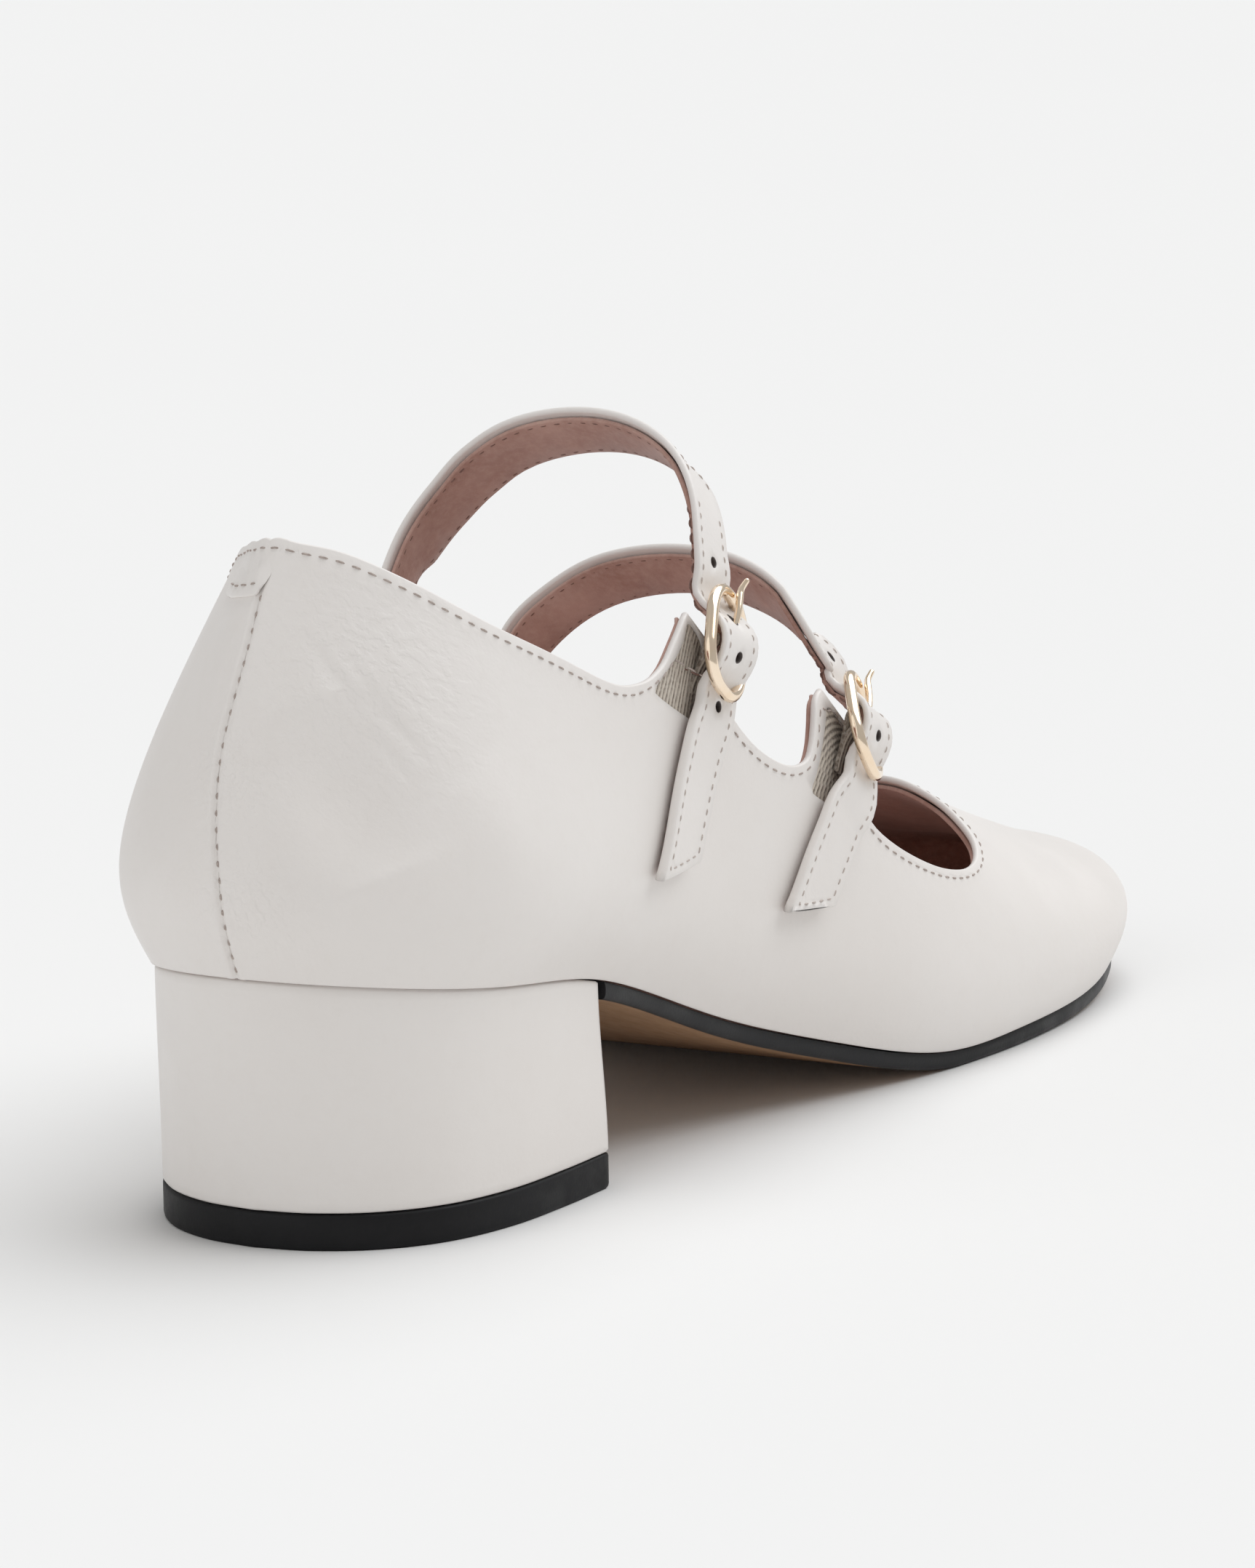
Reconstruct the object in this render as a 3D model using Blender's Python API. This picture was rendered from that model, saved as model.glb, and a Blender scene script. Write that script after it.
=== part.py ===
"""Right shoe of a pair: block-heeled two-strap shoe in smooth leather, standing empty on its sole.

Lengths in the tables are millimetres and are turned into metres when a mesh is made.
+X points to the toe, +Y to the inner (medial) side, +Z up. The origin is the middle of the
heel top piece's lower face, on the floor. The upper follows one last: a ring of sixteen
stations round the sole edge, each carrying a section that climbs from the feather edge
(level 0) to the ridge over the foot (level 5). Station 0 is the back of the heel, 8 the toe tip,
1 to 7 the outer (lateral) side and 9 to 15 the inner side from toe to heel.
"""

import math

import bpy
import numpy as np
from mathutils import Vector
from mathutils.geometry import delaunay_2d_cdt

MM = 0.001
GAP = 0.3

# Upper
LEATHER = 1.8
STATIONS = 16
TOE = 8
RIDGE = 5.0
MESH_STEP = 5.6
PLAN_HALF = 50.0
PLAN_REACH = 1.53
EDGE_CLEAR = 0.55

# Height of the feather edge above the floor along the shoe.
SOLE_X = (-36, 0, 26, 60, 90, 116, 136, 166, 212)
SOLE_Z = (40.0, 34.6, 30.5, 18.5, 9.0, 3.1, 2.9, 3.6, 9.5)

# Feather edge, outer and inner side: station name, outer x, outer y, inner x, inner y.
FEATHER = (
    ("heel back", -31, 0, -31, 0),
    ("back quarter", -26, -16, -26, 16),
    ("heel side", -6, -29.5, -7, 29.5),
    ("breast", 28, -26, 28, 27),
    ("waist", 68, -27, 68, 23),
    ("joint", 108, -36.5, 112, 32.5),
    ("ball", 151, -40.5, 155, 40),
    ("toe side", 194.5, -30.5, 196, 31),
    ("toe tip", 213.5, 0, 213.5, 0),
)
# Sections above the feather edge: height, outward offset on the outer side, the same on the inner
# side, and forward lean.
WIDE = (
    ("heel back", 12, 6.5, 6.5, 0),
    ("back quarter", 12, 7, 6, 0),
    ("heel side", 12, 9, 8.5, 0),
    ("breast", 12, 7, 5, 0),
    ("waist", 11, 5, 4, 0),
    ("joint", 10, 4, 3, 0),
    ("ball", 8, 4, 2.5, 0),
    ("toe side", 7, 4.5, 3, 0),
    ("toe tip", 7, 4, 4, 0),
)
WALL = (
    ("heel back", 36, 2, 2, 0),
    ("back quarter", 36, -2, -5, 0),
    ("heel side", 36, 1, -0.5, 0),
    ("breast", 34, 4, 5, 0),
    ("waist", 30, 4, 8, 0),
    ("joint", 24, 1, 5, 0),
    ("ball", 18, -2, -1, 0),
    ("toe side", 13.7, -3, -2.7, 0.5),
    ("toe tip", 10.8, -5.8, -5.8, 0),
)
SHOULDER = (
    ("heel back", 68, -12.5, -12.5, 0),
    ("back quarter", 68, -11, -18, 3),
    ("heel side", 66, -11, -20, 0),
    ("breast", 60, 2, 0, 2),
    ("waist", 56, 3, 9, -6),
    ("joint", 46, -4, 4, -11),
    ("ball", 31, -15, -15, -12),
    ("toe side", 17.1, -15.6, -15.4, 2),
    ("toe tip", 14, -20, -20, 0),
)
CONE = (
    ("heel back", 88, -27, -27, 0),
    ("back quarter", 88, -12.5, -23, 14),
    ("heel side", 90, -20, -30, 4),
    ("breast", 90, -1, -5, 12),
    ("waist", 83, -1, 6, -2),
    ("joint", 70, -9.5, 2, -15),
    ("ball", 40, -25, -26, -20),
    ("toe side", 26.3, -27, -29, -8),
    ("toe tip", 22.6, -39, -39, 0),
)
# Ridge over the foot: x, y and height above the feather edge.
CREST = (
    ("heel back", 44, 0, 90),
    ("back quarter", 45, 0, 92),
    ("heel side", 48, 0, 98),
    ("breast", 56, 0, 102),
    ("waist", 76, 0, 95),
    ("joint", 98, 0, 78),
    ("ball", 125, 1, 48.5),
    ("toe side", 141, 2, 38),
    ("toe tip", 145, 3, 36),
)

# Cut edge of the upper, round all its openings as one loop: station and level at each turn.
TOPLINE_OUTER = (
    (0.0, 2.86),
    (0.5, 2.84),
    (1.0, 2.80),
    (1.55, 2.70),
    (2.15, 2.52),
    (2.65, 2.38),
    (2.95, 2.33),
    (3.17, 2.41),
    (3.34, 2.57),
    (3.47, 2.79),
    (3.57, 2.98),
)
EAR_GAP = (
    (3.80, 2.86),
    (3.79, 2.70),
    (3.84, 2.56),
    (3.98, 2.46),
    (4.13, 2.43),
    (4.27, 2.46),
    (4.40, 2.56),
    (4.48, 2.70),
    (4.55, 2.87),
    (4.62, 3.05),
    (4.70, 3.17),
)
THROAT = (
    (5.00, 3.02),
    (4.93, 2.72),
    (4.79, 2.42),
    (4.95, 2.30),
    (5.32, 2.26),
    (5.58, 2.33),
    (5.83, 2.62),
    (6.10, 3.2),
    (6.40, 3.9),
    (6.95, 4.48),
    (8.0, 4.73),
    (9.05, 4.48),
    (9.6, 3.9),
    (9.9, 3.2),
    (10.2, 2.65),
    (10.5, 2.42),
    (10.75, 2.55),
    (10.84, 2.95),
)
FRONT_STRAP_FRONT = (
    (10.81, 3.45),
    (10.76, 4.0),
    (10.78, 4.6),
    (5.18, 4.8),
    (5.15, 4.4),
    (5.09, 4.0),
)
FRONT_STRAP_BACK = (
    (4.83, 4.0),
    (4.89, 4.4),
    (4.94, 4.8),
    (11.01, 4.6),
    (10.97, 4.1),
    (11.01, 3.6),
)
STRAP_GAP = (
    (11.06, 3.15),
    (11.12, 2.76),
    (11.28, 2.52),
    (11.5, 2.43),
    (11.69, 2.52),
    (11.79, 2.82),
)
REAR_STRAP_FRONT = (
    (11.74, 3.35),
    (11.60, 3.65),
    (11.55, 4.0),
    (11.60, 4.3),
    (11.69, 4.6),
    (4.22, 4.8),
    (4.16, 4.4),
    (4.09, 4.0),
)
REAR_STRAP_BACK = (
    (3.81, 4.0),
    (3.87, 4.4),
    (3.90, 4.8),
    (12.04, 4.6),
    (11.95, 4.25),
    (11.88, 3.95),
    (11.92, 3.6),
)
TOPLINE_INNER = (
    (12.03, 3.2),
    (12.2, 2.90),
    (12.45, 2.66),
    (12.75, 2.50),
    (13.1, 2.46),
    (13.45, 2.53),
    (13.95, 2.66),
    (14.4, 2.78),
    (14.9, 2.85),
    (15.5, 2.87),
)

# Straps: width, number of strips across, and how they run from the cut edge down the outer side.
STRAP_THICK = 1.6
STRAP_WIDE = 9.5
STRAP_STRIPS = 5
# Station and level of the strap's middle, from where it leaves the last to its tip.
REAR_RUN = (
    (3.95, 4.0),
    (3.90, 3.73),
    (3.85, 3.465),
    (3.815, 3.256),
    (3.793, 3.085),
    (3.758, 2.912),
    (3.709, 2.723),
    (3.645, 2.525),
    (3.51, 2.17),
    (3.355, 1.707),
    (3.175, 1.05),
)
FRONT_RUN = (
    (4.96, 4.0),
    (4.985, 3.8),
    (5.016, 3.64),
    (5.015, 3.476),
    (4.96, 3.254),
    (4.89, 3.052),
    (4.797, 2.827),
    (4.672, 2.58),
    (4.47, 2.19),
    (4.285, 1.765),
    (4.11, 1.22),
)
# Level at which each run crosses its buckle's middle bar.
REAR_BAR = 2.91
FRONT_BAR = 3.05
# Half length of the straight, flat stretch in the buckle, and the length over which it eases out.
STRAIGHT_HALF = 7.5
STRAIGHT_FADE = 8.0
# Outer face of the strap above the last, by distance along the strap from the middle bar.
WEAVE = (
    (-40.0, 0.0),
    (-10.0, 0.0),
    (-6.6, -0.2),
    (-4.5, -0.2),
    (-2.1, 6.0),
    (-0.8, 7.4),
    (0.9, 6.9),
    (2.2, 5.6),
    (4.3, 3.1),
    (7.5, 3.1),
    (15.0, 3.1),
    (22.0, 2.5),
    (60.0, 2.1),
)
HOLE_FROM = 0.1
HOLE_LONG = 1.9

# Buckle: a bowed plate with two windows, and its prong.
BUCKLE_WIDE = 14.2
BUCKLE_TALL = 14.0
BUCKLE_WIRE = 1.9
BUCKLE_BAR = 1.4
BUCKLE_ROUND = 2.6
BUCKLE_STAND = 3.1
BUCKLE_TILT = 14.0
PRONG_RADIUS = 0.5
# Middle line of the prong in the buckle's own plane: up the strap, then outward.
PRONG_LINE = (
    (-0.85, 2.05),
    (-1.9, 3.2),
    (-2.0, 4.5),
    (-0.7, 5.3),
    (1.5, 4.5),
    (4.0, 2.95),
    (6.1, 1.8),
    (7.4, 2.3),
    (8.8, 3.9),
)

# Elastic: sheet on the ear that pulls the buckle, by distance below the middle bar.
ELASTIC_THICK = 0.8
ELASTIC_WIDE = 8.8
ELASTIC_RISE = ((1.4, 2.7), (2.6, 1.8), (3.8, 1.2), (5.0, 1.12), (9.0, 1.12), (13.0, 1.12))

# Sole parts
OUTSOLE_THICK = 2.6
OUTSOLE_INSET = 0.3
INSOLE_THICK = 2.4
INSOLE_INSET = 2.3
INSOLE_BACK = 0.12
BREAST_X = 27.0
TOP_PIECE_TALL = 5.2
HEEL_INSET = 0.7
# Heel block lower outline, half of the D: x from the breast round to the back, and half width.
HEEL_FOOT = ((27.0, 27.6), (14.0, 27.8), (0.0, 27.0), (-12.0, 23.6), (-20.5, 17.2), (-25.4, 8.8), (-27.0, 0.0))
HEEL_LEVELS = (0.0, 0.12, 0.35, 0.6, 0.82, 1.0)

CREAM = (0.80, 0.775, 0.74, 1.0)
LINING = (0.36, 0.21, 0.18, 1.0)
BLACK = (0.012, 0.012, 0.014, 1.0)
GOLD = (0.83, 0.62, 0.33, 1.0)
OLIVE = (0.36, 0.32, 0.23, 1.0)


def clear_scene():
    """Remove every object of the start-up scene."""
    for item in list(bpy.data.objects):
        bpy.data.objects.remove(item, do_unlink=True)


def material(name, colour, roughness, metallic=0.0):
    """Principled material of one colour."""
    made = bpy.data.materials.new(name)
    made.use_nodes = True
    shader = made.node_tree.nodes["Principled BSDF"]
    shader.inputs["Base Color"].default_value = colour
    shader.inputs["Roughness"].default_value = roughness
    shader.inputs["Metallic"].default_value = metallic
    made.diffuse_color = colour
    return made


def add_node(name, points, faces, finish):
    """Make one mesh object from points in millimetres."""
    mesh = bpy.data.meshes.new(name)
    mesh.from_pydata([tuple(float(v) * MM for v in p) for p in points], [], [tuple(f) for f in faces])
    mesh.validate()
    mesh.materials.append(finish)
    made = bpy.data.objects.new(name, mesh)
    bpy.context.scene.collection.objects.link(made)
    return made


def natural_curve(knots, values, at):
    """Natural cubic through (knots, values), straight beyond its ends."""
    x = np.array(knots, float)
    y = np.array(values, float)
    h = np.diff(x)
    n = len(x)
    system = np.eye(n)
    right = np.zeros(n)
    for i in range(1, n - 1):
        system[i, i - 1] = h[i - 1]
        system[i, i] = 2 * (h[i - 1] + h[i])
        system[i, i + 1] = h[i]
        right[i] = 6 * ((y[i + 1] - y[i]) / h[i] - (y[i] - y[i - 1]) / h[i - 1])
    bend = np.linalg.solve(system, right)
    q = np.clip(np.asarray(at, float), x[0], x[-1])
    i = np.clip(np.searchsorted(x, q) - 1, 0, n - 2)
    a = (x[i + 1] - q) / h[i]
    b = (q - x[i]) / h[i]
    inner = a * y[i] + b * y[i + 1] + ((a**3 - a) * bend[i] + (b**3 - b) * bend[i + 1]) * h[i] ** 2 / 6
    low = (y[1] - y[0]) / h[0] - h[0] * bend[1] / 6
    high = (y[-1] - y[-2]) / h[-1] + h[-1] * bend[-2] / 6
    over = np.asarray(at, float) - q
    return inner + np.where(over < 0, low, high) * over


def sole_height(x):
    """Height of the feather edge above the floor."""
    return natural_curve(SOLE_X, SOLE_Z, x)


def spline_weights(u):
    """Uniform cubic B-spline weights of four neighbouring controls."""
    u = np.asarray(u, float)
    return np.stack([(1 - u) ** 3, 3 * u**3 - 6 * u**2 + 4, -3 * u**3 + 3 * u**2 + 3 * u + 1, u**3], -1) / 6


def last_controls():
    """Control net of the last, sixteen stations by six rows; heights are above the feather edge."""
    outer = [(row[1], row[2]) for row in FEATHER]
    inner = [(row[3], row[4]) for row in FEATHER]
    ring = np.array(outer + inner[TOE - 1 : 0 : -1], float)
    order = list(range(TOE + 1)) + list(range(TOE - 1, 0, -1))
    along = np.roll(ring, -1, 0) - np.roll(ring, 1, 0)
    outward = np.stack([-along[:, 1], along[:, 0]], -1)
    outward /= np.linalg.norm(outward, axis=1)[:, None]
    if ((ring - ring.mean(0)) * outward).sum() < 0:
        outward = -outward
    rows = [np.c_[ring, np.zeros(STATIONS)]]
    for table in (WIDE, WALL, SHOULDER, CONE):
        side = [2 if k <= TOE else 3 for k in range(STATIONS)]
        offset = np.array([table[order[k]][side[k]] for k in range(STATIONS)], float)
        height = np.array([table[order[k]][1] for k in range(STATIONS)], float)
        lean = np.array([table[order[k]][4] for k in range(STATIONS)], float)
        place = ring + outward * offset[:, None]
        rows.append(np.c_[place[:, 0] + lean, place[:, 1], height])
    rows.append(np.array([CREST[k][1:] for k in order], float))
    return np.stack(rows, 1)


CONTROLS = last_controls()


def section_at(station):
    """Section controls between stations."""
    station = np.asarray(station, float) % STATIONS
    first = np.floor(station).astype(int)
    weight = spline_weights(station - first)
    return sum(weight[:, k, None, None] * CONTROLS[(first + k - 1) % STATIONS] for k in range(4))


def last_point(station, level):
    """Points of the last's outside; a level past the ridge continues down the other side."""
    station = np.atleast_1d(np.asarray(station, float))
    level = np.atleast_1d(np.asarray(level, float))
    near = section_at(station)
    far = section_at((STATIONS - station) % STATIONS)
    top = near.shape[1] - 1
    full = np.concatenate([near, far[:, top - 1 :: -1]], 1)
    full = np.concatenate([2 * full[:, :1] - full[:, 1:2], full, 2 * full[:, -1:] - full[:, -2:-1]], 1)
    first = np.clip(np.floor(level).astype(int), 0, 2 * top - 1)
    weight = spline_weights(level - first)
    index = np.arange(len(station))
    place = sum(weight[:, k, None] * full[index, first + k] for k in range(4))
    place[:, 2] += sole_height(place[:, 0])
    return place


def last_normal(station, level):
    """Outward unit normals of the last."""
    station = np.atleast_1d(np.asarray(station, float))
    level = np.atleast_1d(np.asarray(level, float))
    step = 0.02
    low = np.maximum(level - step, 0.0)
    along = last_point(station + step, level) - last_point(station - step, level)
    up = last_point(station, level + step) - last_point(station, low)
    normal = np.cross(along, up)
    normal /= np.linalg.norm(normal, axis=1)[:, None]
    side = last_point([3.0], [1.0])[0]
    probe = np.cross(
        last_point([3.02], [1.0])[0] - last_point([2.98], [1.0])[0],
        last_point([3.0], [1.02])[0] - last_point([3.0], [0.98])[0],
    )
    return normal if probe[1] * side[1] > 0 else -normal


def to_plan(station, level):
    """Flat picture of the last, in which the ridge is a slit and the feather edge an oval."""
    spread = (RIDGE - np.asarray(level, float)) / RIDGE * PLAN_REACH
    turn = np.asarray(station, float) * 2 * math.pi / STATIONS
    return PLAN_HALF * np.cosh(spread) * np.cos(turn), PLAN_HALF * np.sinh(spread) * np.sin(turn)


def from_plan(x, y):
    """Station and level of a point of the flat picture."""
    place = np.arccosh((np.asarray(x, float) + 1j * np.asarray(y, float)) / PLAN_HALF)
    spread = np.abs(place.real)
    turn = np.where(place.real < 0, -place.imag, place.imag)
    turn = np.where(np.asarray(y, float) < 0, -np.abs(turn), np.abs(turn))
    return (turn * STATIONS / (2 * math.pi)) % STATIONS, RIDGE - spread / PLAN_REACH * RIDGE


def smooth_line(points, step):
    """Catmull-Rom curve through flat points, sampled at about the given step."""
    p = np.array(points, float)
    full = np.concatenate([[2 * p[0] - p[1]], p, [2 * p[-1] - p[-2]]])
    made = [p[0]]
    for i in range(1, len(full) - 2):
        a, b, c, d = full[i - 1 : i + 3]
        parts = max(1, int(round(np.linalg.norm(c - b) / step)))
        for k in range(1, parts + 1):
            u = k / parts
            made.append(
                0.5 * (2 * b + (c - a) * u + (2 * a - 5 * b + 4 * c - d) * u**2 + (3 * b - a - 3 * c + d) * u**3)
            )
    return np.array(made)


def cut_loop(step, strips):
    """Cut edge of the upper in the flat picture, and the index of each strap's mouth in it."""
    runs = (
        (TOPLINE_OUTER, None),
        (EAR_GAP, None),
        (THROAT + FRONT_STRAP_FRONT, "front"),
        (FRONT_STRAP_BACK + STRAP_GAP + REAR_STRAP_FRONT, "rear"),
        (REAR_STRAP_BACK + TOPLINE_INNER + ((16.0, 2.86),), None),
    )
    loop = []
    mouths = {}
    for rows, mouth in runs:
        flat = np.stack(to_plan(*np.array(rows, float).T), -1)
        line = smooth_line(flat, step)
        line = line[1:] if rows is TOPLINE_OUTER else line
        loop.extend(line)
        if mouth == "front":
            start = to_plan(*FRONT_STRAP_FRONT[-1])
            end = to_plan(*FRONT_STRAP_BACK[0])
        elif mouth == "rear":
            start = to_plan(*REAR_STRAP_FRONT[-1])
            end = to_plan(*REAR_STRAP_BACK[0])
        else:
            continue
        first = len(loop) - 1
        for k in range(1, strips):
            loop.append(np.array(start) + (np.array(end) - np.array(start)) * k / strips)
        mouths[mouth] = list(range(first, first + strips + 1))
    return np.array(loop), mouths


def inside(points, loop):
    """Which points lie inside a closed flat loop."""
    found = np.zeros(len(points), bool)
    a = loop
    b = np.roll(loop, -1, 0)
    for p, q in zip(a, b):
        if p[1] == q[1]:
            continue
        crosses = (p[1] > points[:, 1]) != (q[1] > points[:, 1])
        at = (q[0] - p[0]) * (points[:, 1] - p[1]) / (q[1] - p[1]) + p[0]
        found ^= crosses & (points[:, 0] < at)
    return found


def distance_to_loop(points, loop):
    """Least distance of each point from a closed flat loop."""
    least = np.full(len(points), 1e9)
    for p, q in zip(loop, np.roll(loop, -1, 0)):
        edge = q - p
        length = max(float(edge @ edge), 1e-12)
        u = np.clip((points - p) @ edge / length, 0, 1)
        least = np.minimum(least, np.linalg.norm(points - (p + u[:, None] * edge), axis=1))
    return least


def upper_sheet(step, strips):
    """Outer face of the upper on the last: points, normals, triangles and strap mouths."""
    ring = np.stack(to_plan(np.arange(0, STATIONS, STATIONS / round(560 / step)), 0.0), -1)
    cut, mouths = cut_loop(step * 0.8, strips)
    cut_at = len(ring)
    mouths = {name: [cut_at + (k % len(cut)) for k in row] for name, row in mouths.items()}
    size = np.abs(ring).max(0)
    across = np.arange(-size[0], size[0], step)
    down = np.arange(-size[1], size[1], step * 0.866)
    grid = np.array([(x + (step / 2 if j % 2 else 0.0), y) for j, y in enumerate(down) for x in across])
    keep = inside(grid, ring) & ~inside(grid, cut)
    keep &= distance_to_loop(grid, ring) > step * EDGE_CLEAR
    keep &= distance_to_loop(grid, cut) > step * EDGE_CLEAR
    flat = np.concatenate([ring, cut, grid[keep]])
    n = len(ring)
    m = len(cut)
    edges = [(i, (i + 1) % n) for i in range(n)] + [(n + i, n + (i + 1) % m) for i in range(m)]
    found = delaunay_2d_cdt([Vector(p) for p in flat], edges, [], 0, 1e-7)
    place = np.array([(v.x, v.y) for v in found[0]])
    faces = np.array([f for f in found[2]])
    middle = place[faces].mean(1)
    faces = faces[inside(middle, ring) & ~inside(middle, cut)]
    station, level = from_plan(place[:, 0], place[:, 1])
    level = np.clip(level, 0.0, RIDGE)
    return last_point(station, level), last_normal(station, level), faces, mouths


def along_run(rows, bar_level):
    """Dense middle line of a strap run with its normals and distances from the middle bar.

    The line follows the last, and runs straight and flat where the strap is in its buckle.
    """
    line = smooth_line(rows, 0.02)
    point = last_point(line[:, 0], line[:, 1])
    normal = last_normal(line[:, 0], line[:, 1])
    travel = np.concatenate([[0], np.cumsum(np.linalg.norm(np.diff(point, axis=0), axis=1))])
    travel -= np.interp(-bar_level, -line[:, 1], travel)
    place, up, _ = frame_at((point, normal, travel), np.array([-STRAIGHT_HALF, 0.0, STRAIGHT_HALF]))
    chord = place[2] - place[0]
    chord /= np.linalg.norm(chord)
    up = up[1] - (up[1] @ chord) * chord
    up /= np.linalg.norm(up)
    sag = (place[0] + place[2]) / 2 - place[1]
    sag -= (sag @ up) * up + (sag @ chord) * chord
    straight = place[1] + sag / 2 + chord * travel[:, None]
    share = np.clip((STRAIGHT_HALF + STRAIGHT_FADE - np.abs(travel)) / STRAIGHT_FADE, 0, 1)
    share = (share * share * (3 - 2 * share))[:, None]
    point = point * (1 - share) + straight * share
    normal = normal * (1 - share) + up * share
    return point, normal / np.linalg.norm(normal, axis=1)[:, None], travel


def frame_at(run, distance):
    """Point, normal and direction of a run at a distance from its middle bar."""
    point, normal, travel = run
    place = np.stack([np.interp(distance, travel, point[:, k]) for k in range(3)], -1)
    up = np.stack([np.interp(distance, travel, normal[:, k]) for k in range(3)], -1)
    ahead = np.stack([np.interp(distance + 0.6, travel, point[:, k]) for k in range(3)], -1)
    behind = np.stack([np.interp(distance - 0.6, travel, point[:, k]) for k in range(3)], -1)
    along = ahead - behind
    along /= np.linalg.norm(along, axis=-1)[..., None]
    up -= (up * along).sum(-1)[..., None] * along
    up /= np.linalg.norm(up, axis=-1)[..., None]
    return place, up, along


def ribbon_rows(run, distances, stand, width, strips):
    """Rows of a ribbon's outer face and its normals, back edge to front edge."""
    place, up, along = frame_at(run, distances)
    across = np.cross(up, along)
    across = np.where((across[:, :1] > 0), across, -across)
    height = np.interp(distances, *zip(*stand))
    middle = place + up * height[:, None]
    slope = np.gradient(middle, axis=0)
    slope /= np.linalg.norm(slope, axis=1)[:, None]
    face = np.cross(slope, across)
    face = np.where((face * up).sum(1)[:, None] > 0, face, -face)
    face /= np.linalg.norm(face, axis=1)[:, None]
    reach = np.linspace(-width / 2, width / 2, strips + 1)
    points = middle[:, None] + across[:, None] * reach[None, :, None]
    return points, np.repeat(face[:, None], strips + 1, 1)


def smooth_stand(table, width=1.6):
    """The table's heights as a fine, gently rounded profile."""
    at = np.arange(table[0][0], table[-1][0] + 0.1, 0.1)
    raw = np.interp(at, *zip(*table))
    half = int(width / 0.1)
    window = np.hanning(2 * half + 1)
    window /= window.sum()
    padded = np.concatenate([np.full(half, raw[0]), raw, np.full(half, raw[-1])])
    return list(zip(at, np.convolve(padded, window, "valid")))


def turn_outward(points, faces):
    """Faces turned so that the closed mesh encloses a positive volume."""
    volume = 0.0
    for face in faces:
        a = points[face[0]]
        for k in range(1, len(face) - 1):
            volume += float(np.dot(a, np.cross(points[face[k]], points[face[k + 1]])))
    return faces if volume > 0 else [tuple(reversed(f)) for f in faces]


def thicken(points, normals, faces, thickness):
    """Closed solid between a sheet and its inward offset."""
    count = len(points)
    inner = points - normals * np.asarray(thickness, float).reshape(-1, 1)
    faces = [tuple(int(v) for v in f) for f in faces]
    edges = {}
    for face in faces:
        for k, a in enumerate(face):
            edges[(a, face[(k + 1) % len(face)])] = True
    solid = list(faces) + [tuple(v + count for v in reversed(f)) for f in faces]
    solid += [(b, a, a + count, b + count) for a, b in edges if (b, a) not in edges]
    points = np.concatenate([points, inner])
    used = sorted({v for f in solid for v in f})
    renumber = {v: i for i, v in enumerate(used)}
    points = points[used]
    solid = [tuple(renumber[v] for v in f) for f in solid]
    return points, turn_outward(points, solid)


def strap_distances(run):
    """Where the rows of a strap run lie, close together through the buckle."""
    start = run[2][0]
    end = run[2][-1]
    rows = list(np.linspace(start, -12.0, 6))[1:-1]
    rows += [-12.0, -10.0, -8.3, -6.8, -5.6, -4.4, -3.2, -2.0, -1.0, HOLE_FROM, HOLE_FROM + HOLE_LONG]
    rows += [3.2, 4.6, 6.0, 8.0]
    rows += list(np.linspace(10.5, end, 11))
    return np.array(rows)


def make_upper(finish):
    """Upper with both straps, one closed wall."""
    points, normals, faces, mouths = upper_sheet(MESH_STEP, STRAP_STRIPS)
    thickness = np.full(len(points), LEATHER)
    points = list(points)
    normals = list(normals)
    faces = [tuple(f) for f in faces]
    lookup = set()
    for a, b, c in faces:
        lookup |= {(a, b), (b, c), (c, a)}
    thickness = list(thickness)
    for name, rows, bar in (("rear", REAR_RUN, REAR_BAR), ("front", FRONT_RUN, FRONT_BAR)):
        run = along_run(rows, bar)
        mouth = mouths[name][::-1]
        distances = strap_distances(run)
        made, facing = ribbon_rows(run, distances, smooth_stand(WEAVE), STRAP_WIDE, STRAP_STRIPS)
        previous = mouth
        flip = (mouth[0], mouth[1]) in lookup
        for k, row in enumerate(made):
            first = len(points)
            points.extend(row)
            normals.extend(facing[k])
            thickness.extend([LEATHER + (STRAP_THICK - LEATHER) * min(1.0, (k + 1) / 4)] * len(row))
            current = list(range(first, first + len(row)))
            hole = k > 0 and abs(distances[k - 1] - HOLE_FROM) < 1e-9
            for j in range(STRAP_STRIPS):
                if hole and j == STRAP_STRIPS // 2:
                    continue
                quad = (previous[j], previous[j + 1], current[j + 1], current[j])
                faces.append(tuple(reversed(quad)) if flip else quad)
            previous = current
    solid, shell = thicken(np.array(points), np.array(normals), faces, thickness)
    return add_node("upper", solid, shell, finish)


def feather_outline(count, inset, low=0.0, high=STATIONS):
    """Feather edge in plan, moved inward by inset, with its stations."""
    station = np.linspace(low, high, count, endpoint=high - low < STATIONS)
    place = last_point(station, np.zeros(count))[:, :2]
    ahead = last_point(station + 0.02, np.zeros(count))[:, :2]
    behind = last_point(station - 0.02, np.zeros(count))[:, :2]
    along = ahead - behind
    normal = np.stack([-along[:, 1], along[:, 0]], -1)
    normal /= np.linalg.norm(normal, axis=1)[:, None]
    probe = last_point([3.0], [0.0])[0, 1] * normal[np.argmin(abs(station - 3.0)), 1]
    normal = normal if probe > 0 else -normal
    return place - normal * inset


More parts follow.
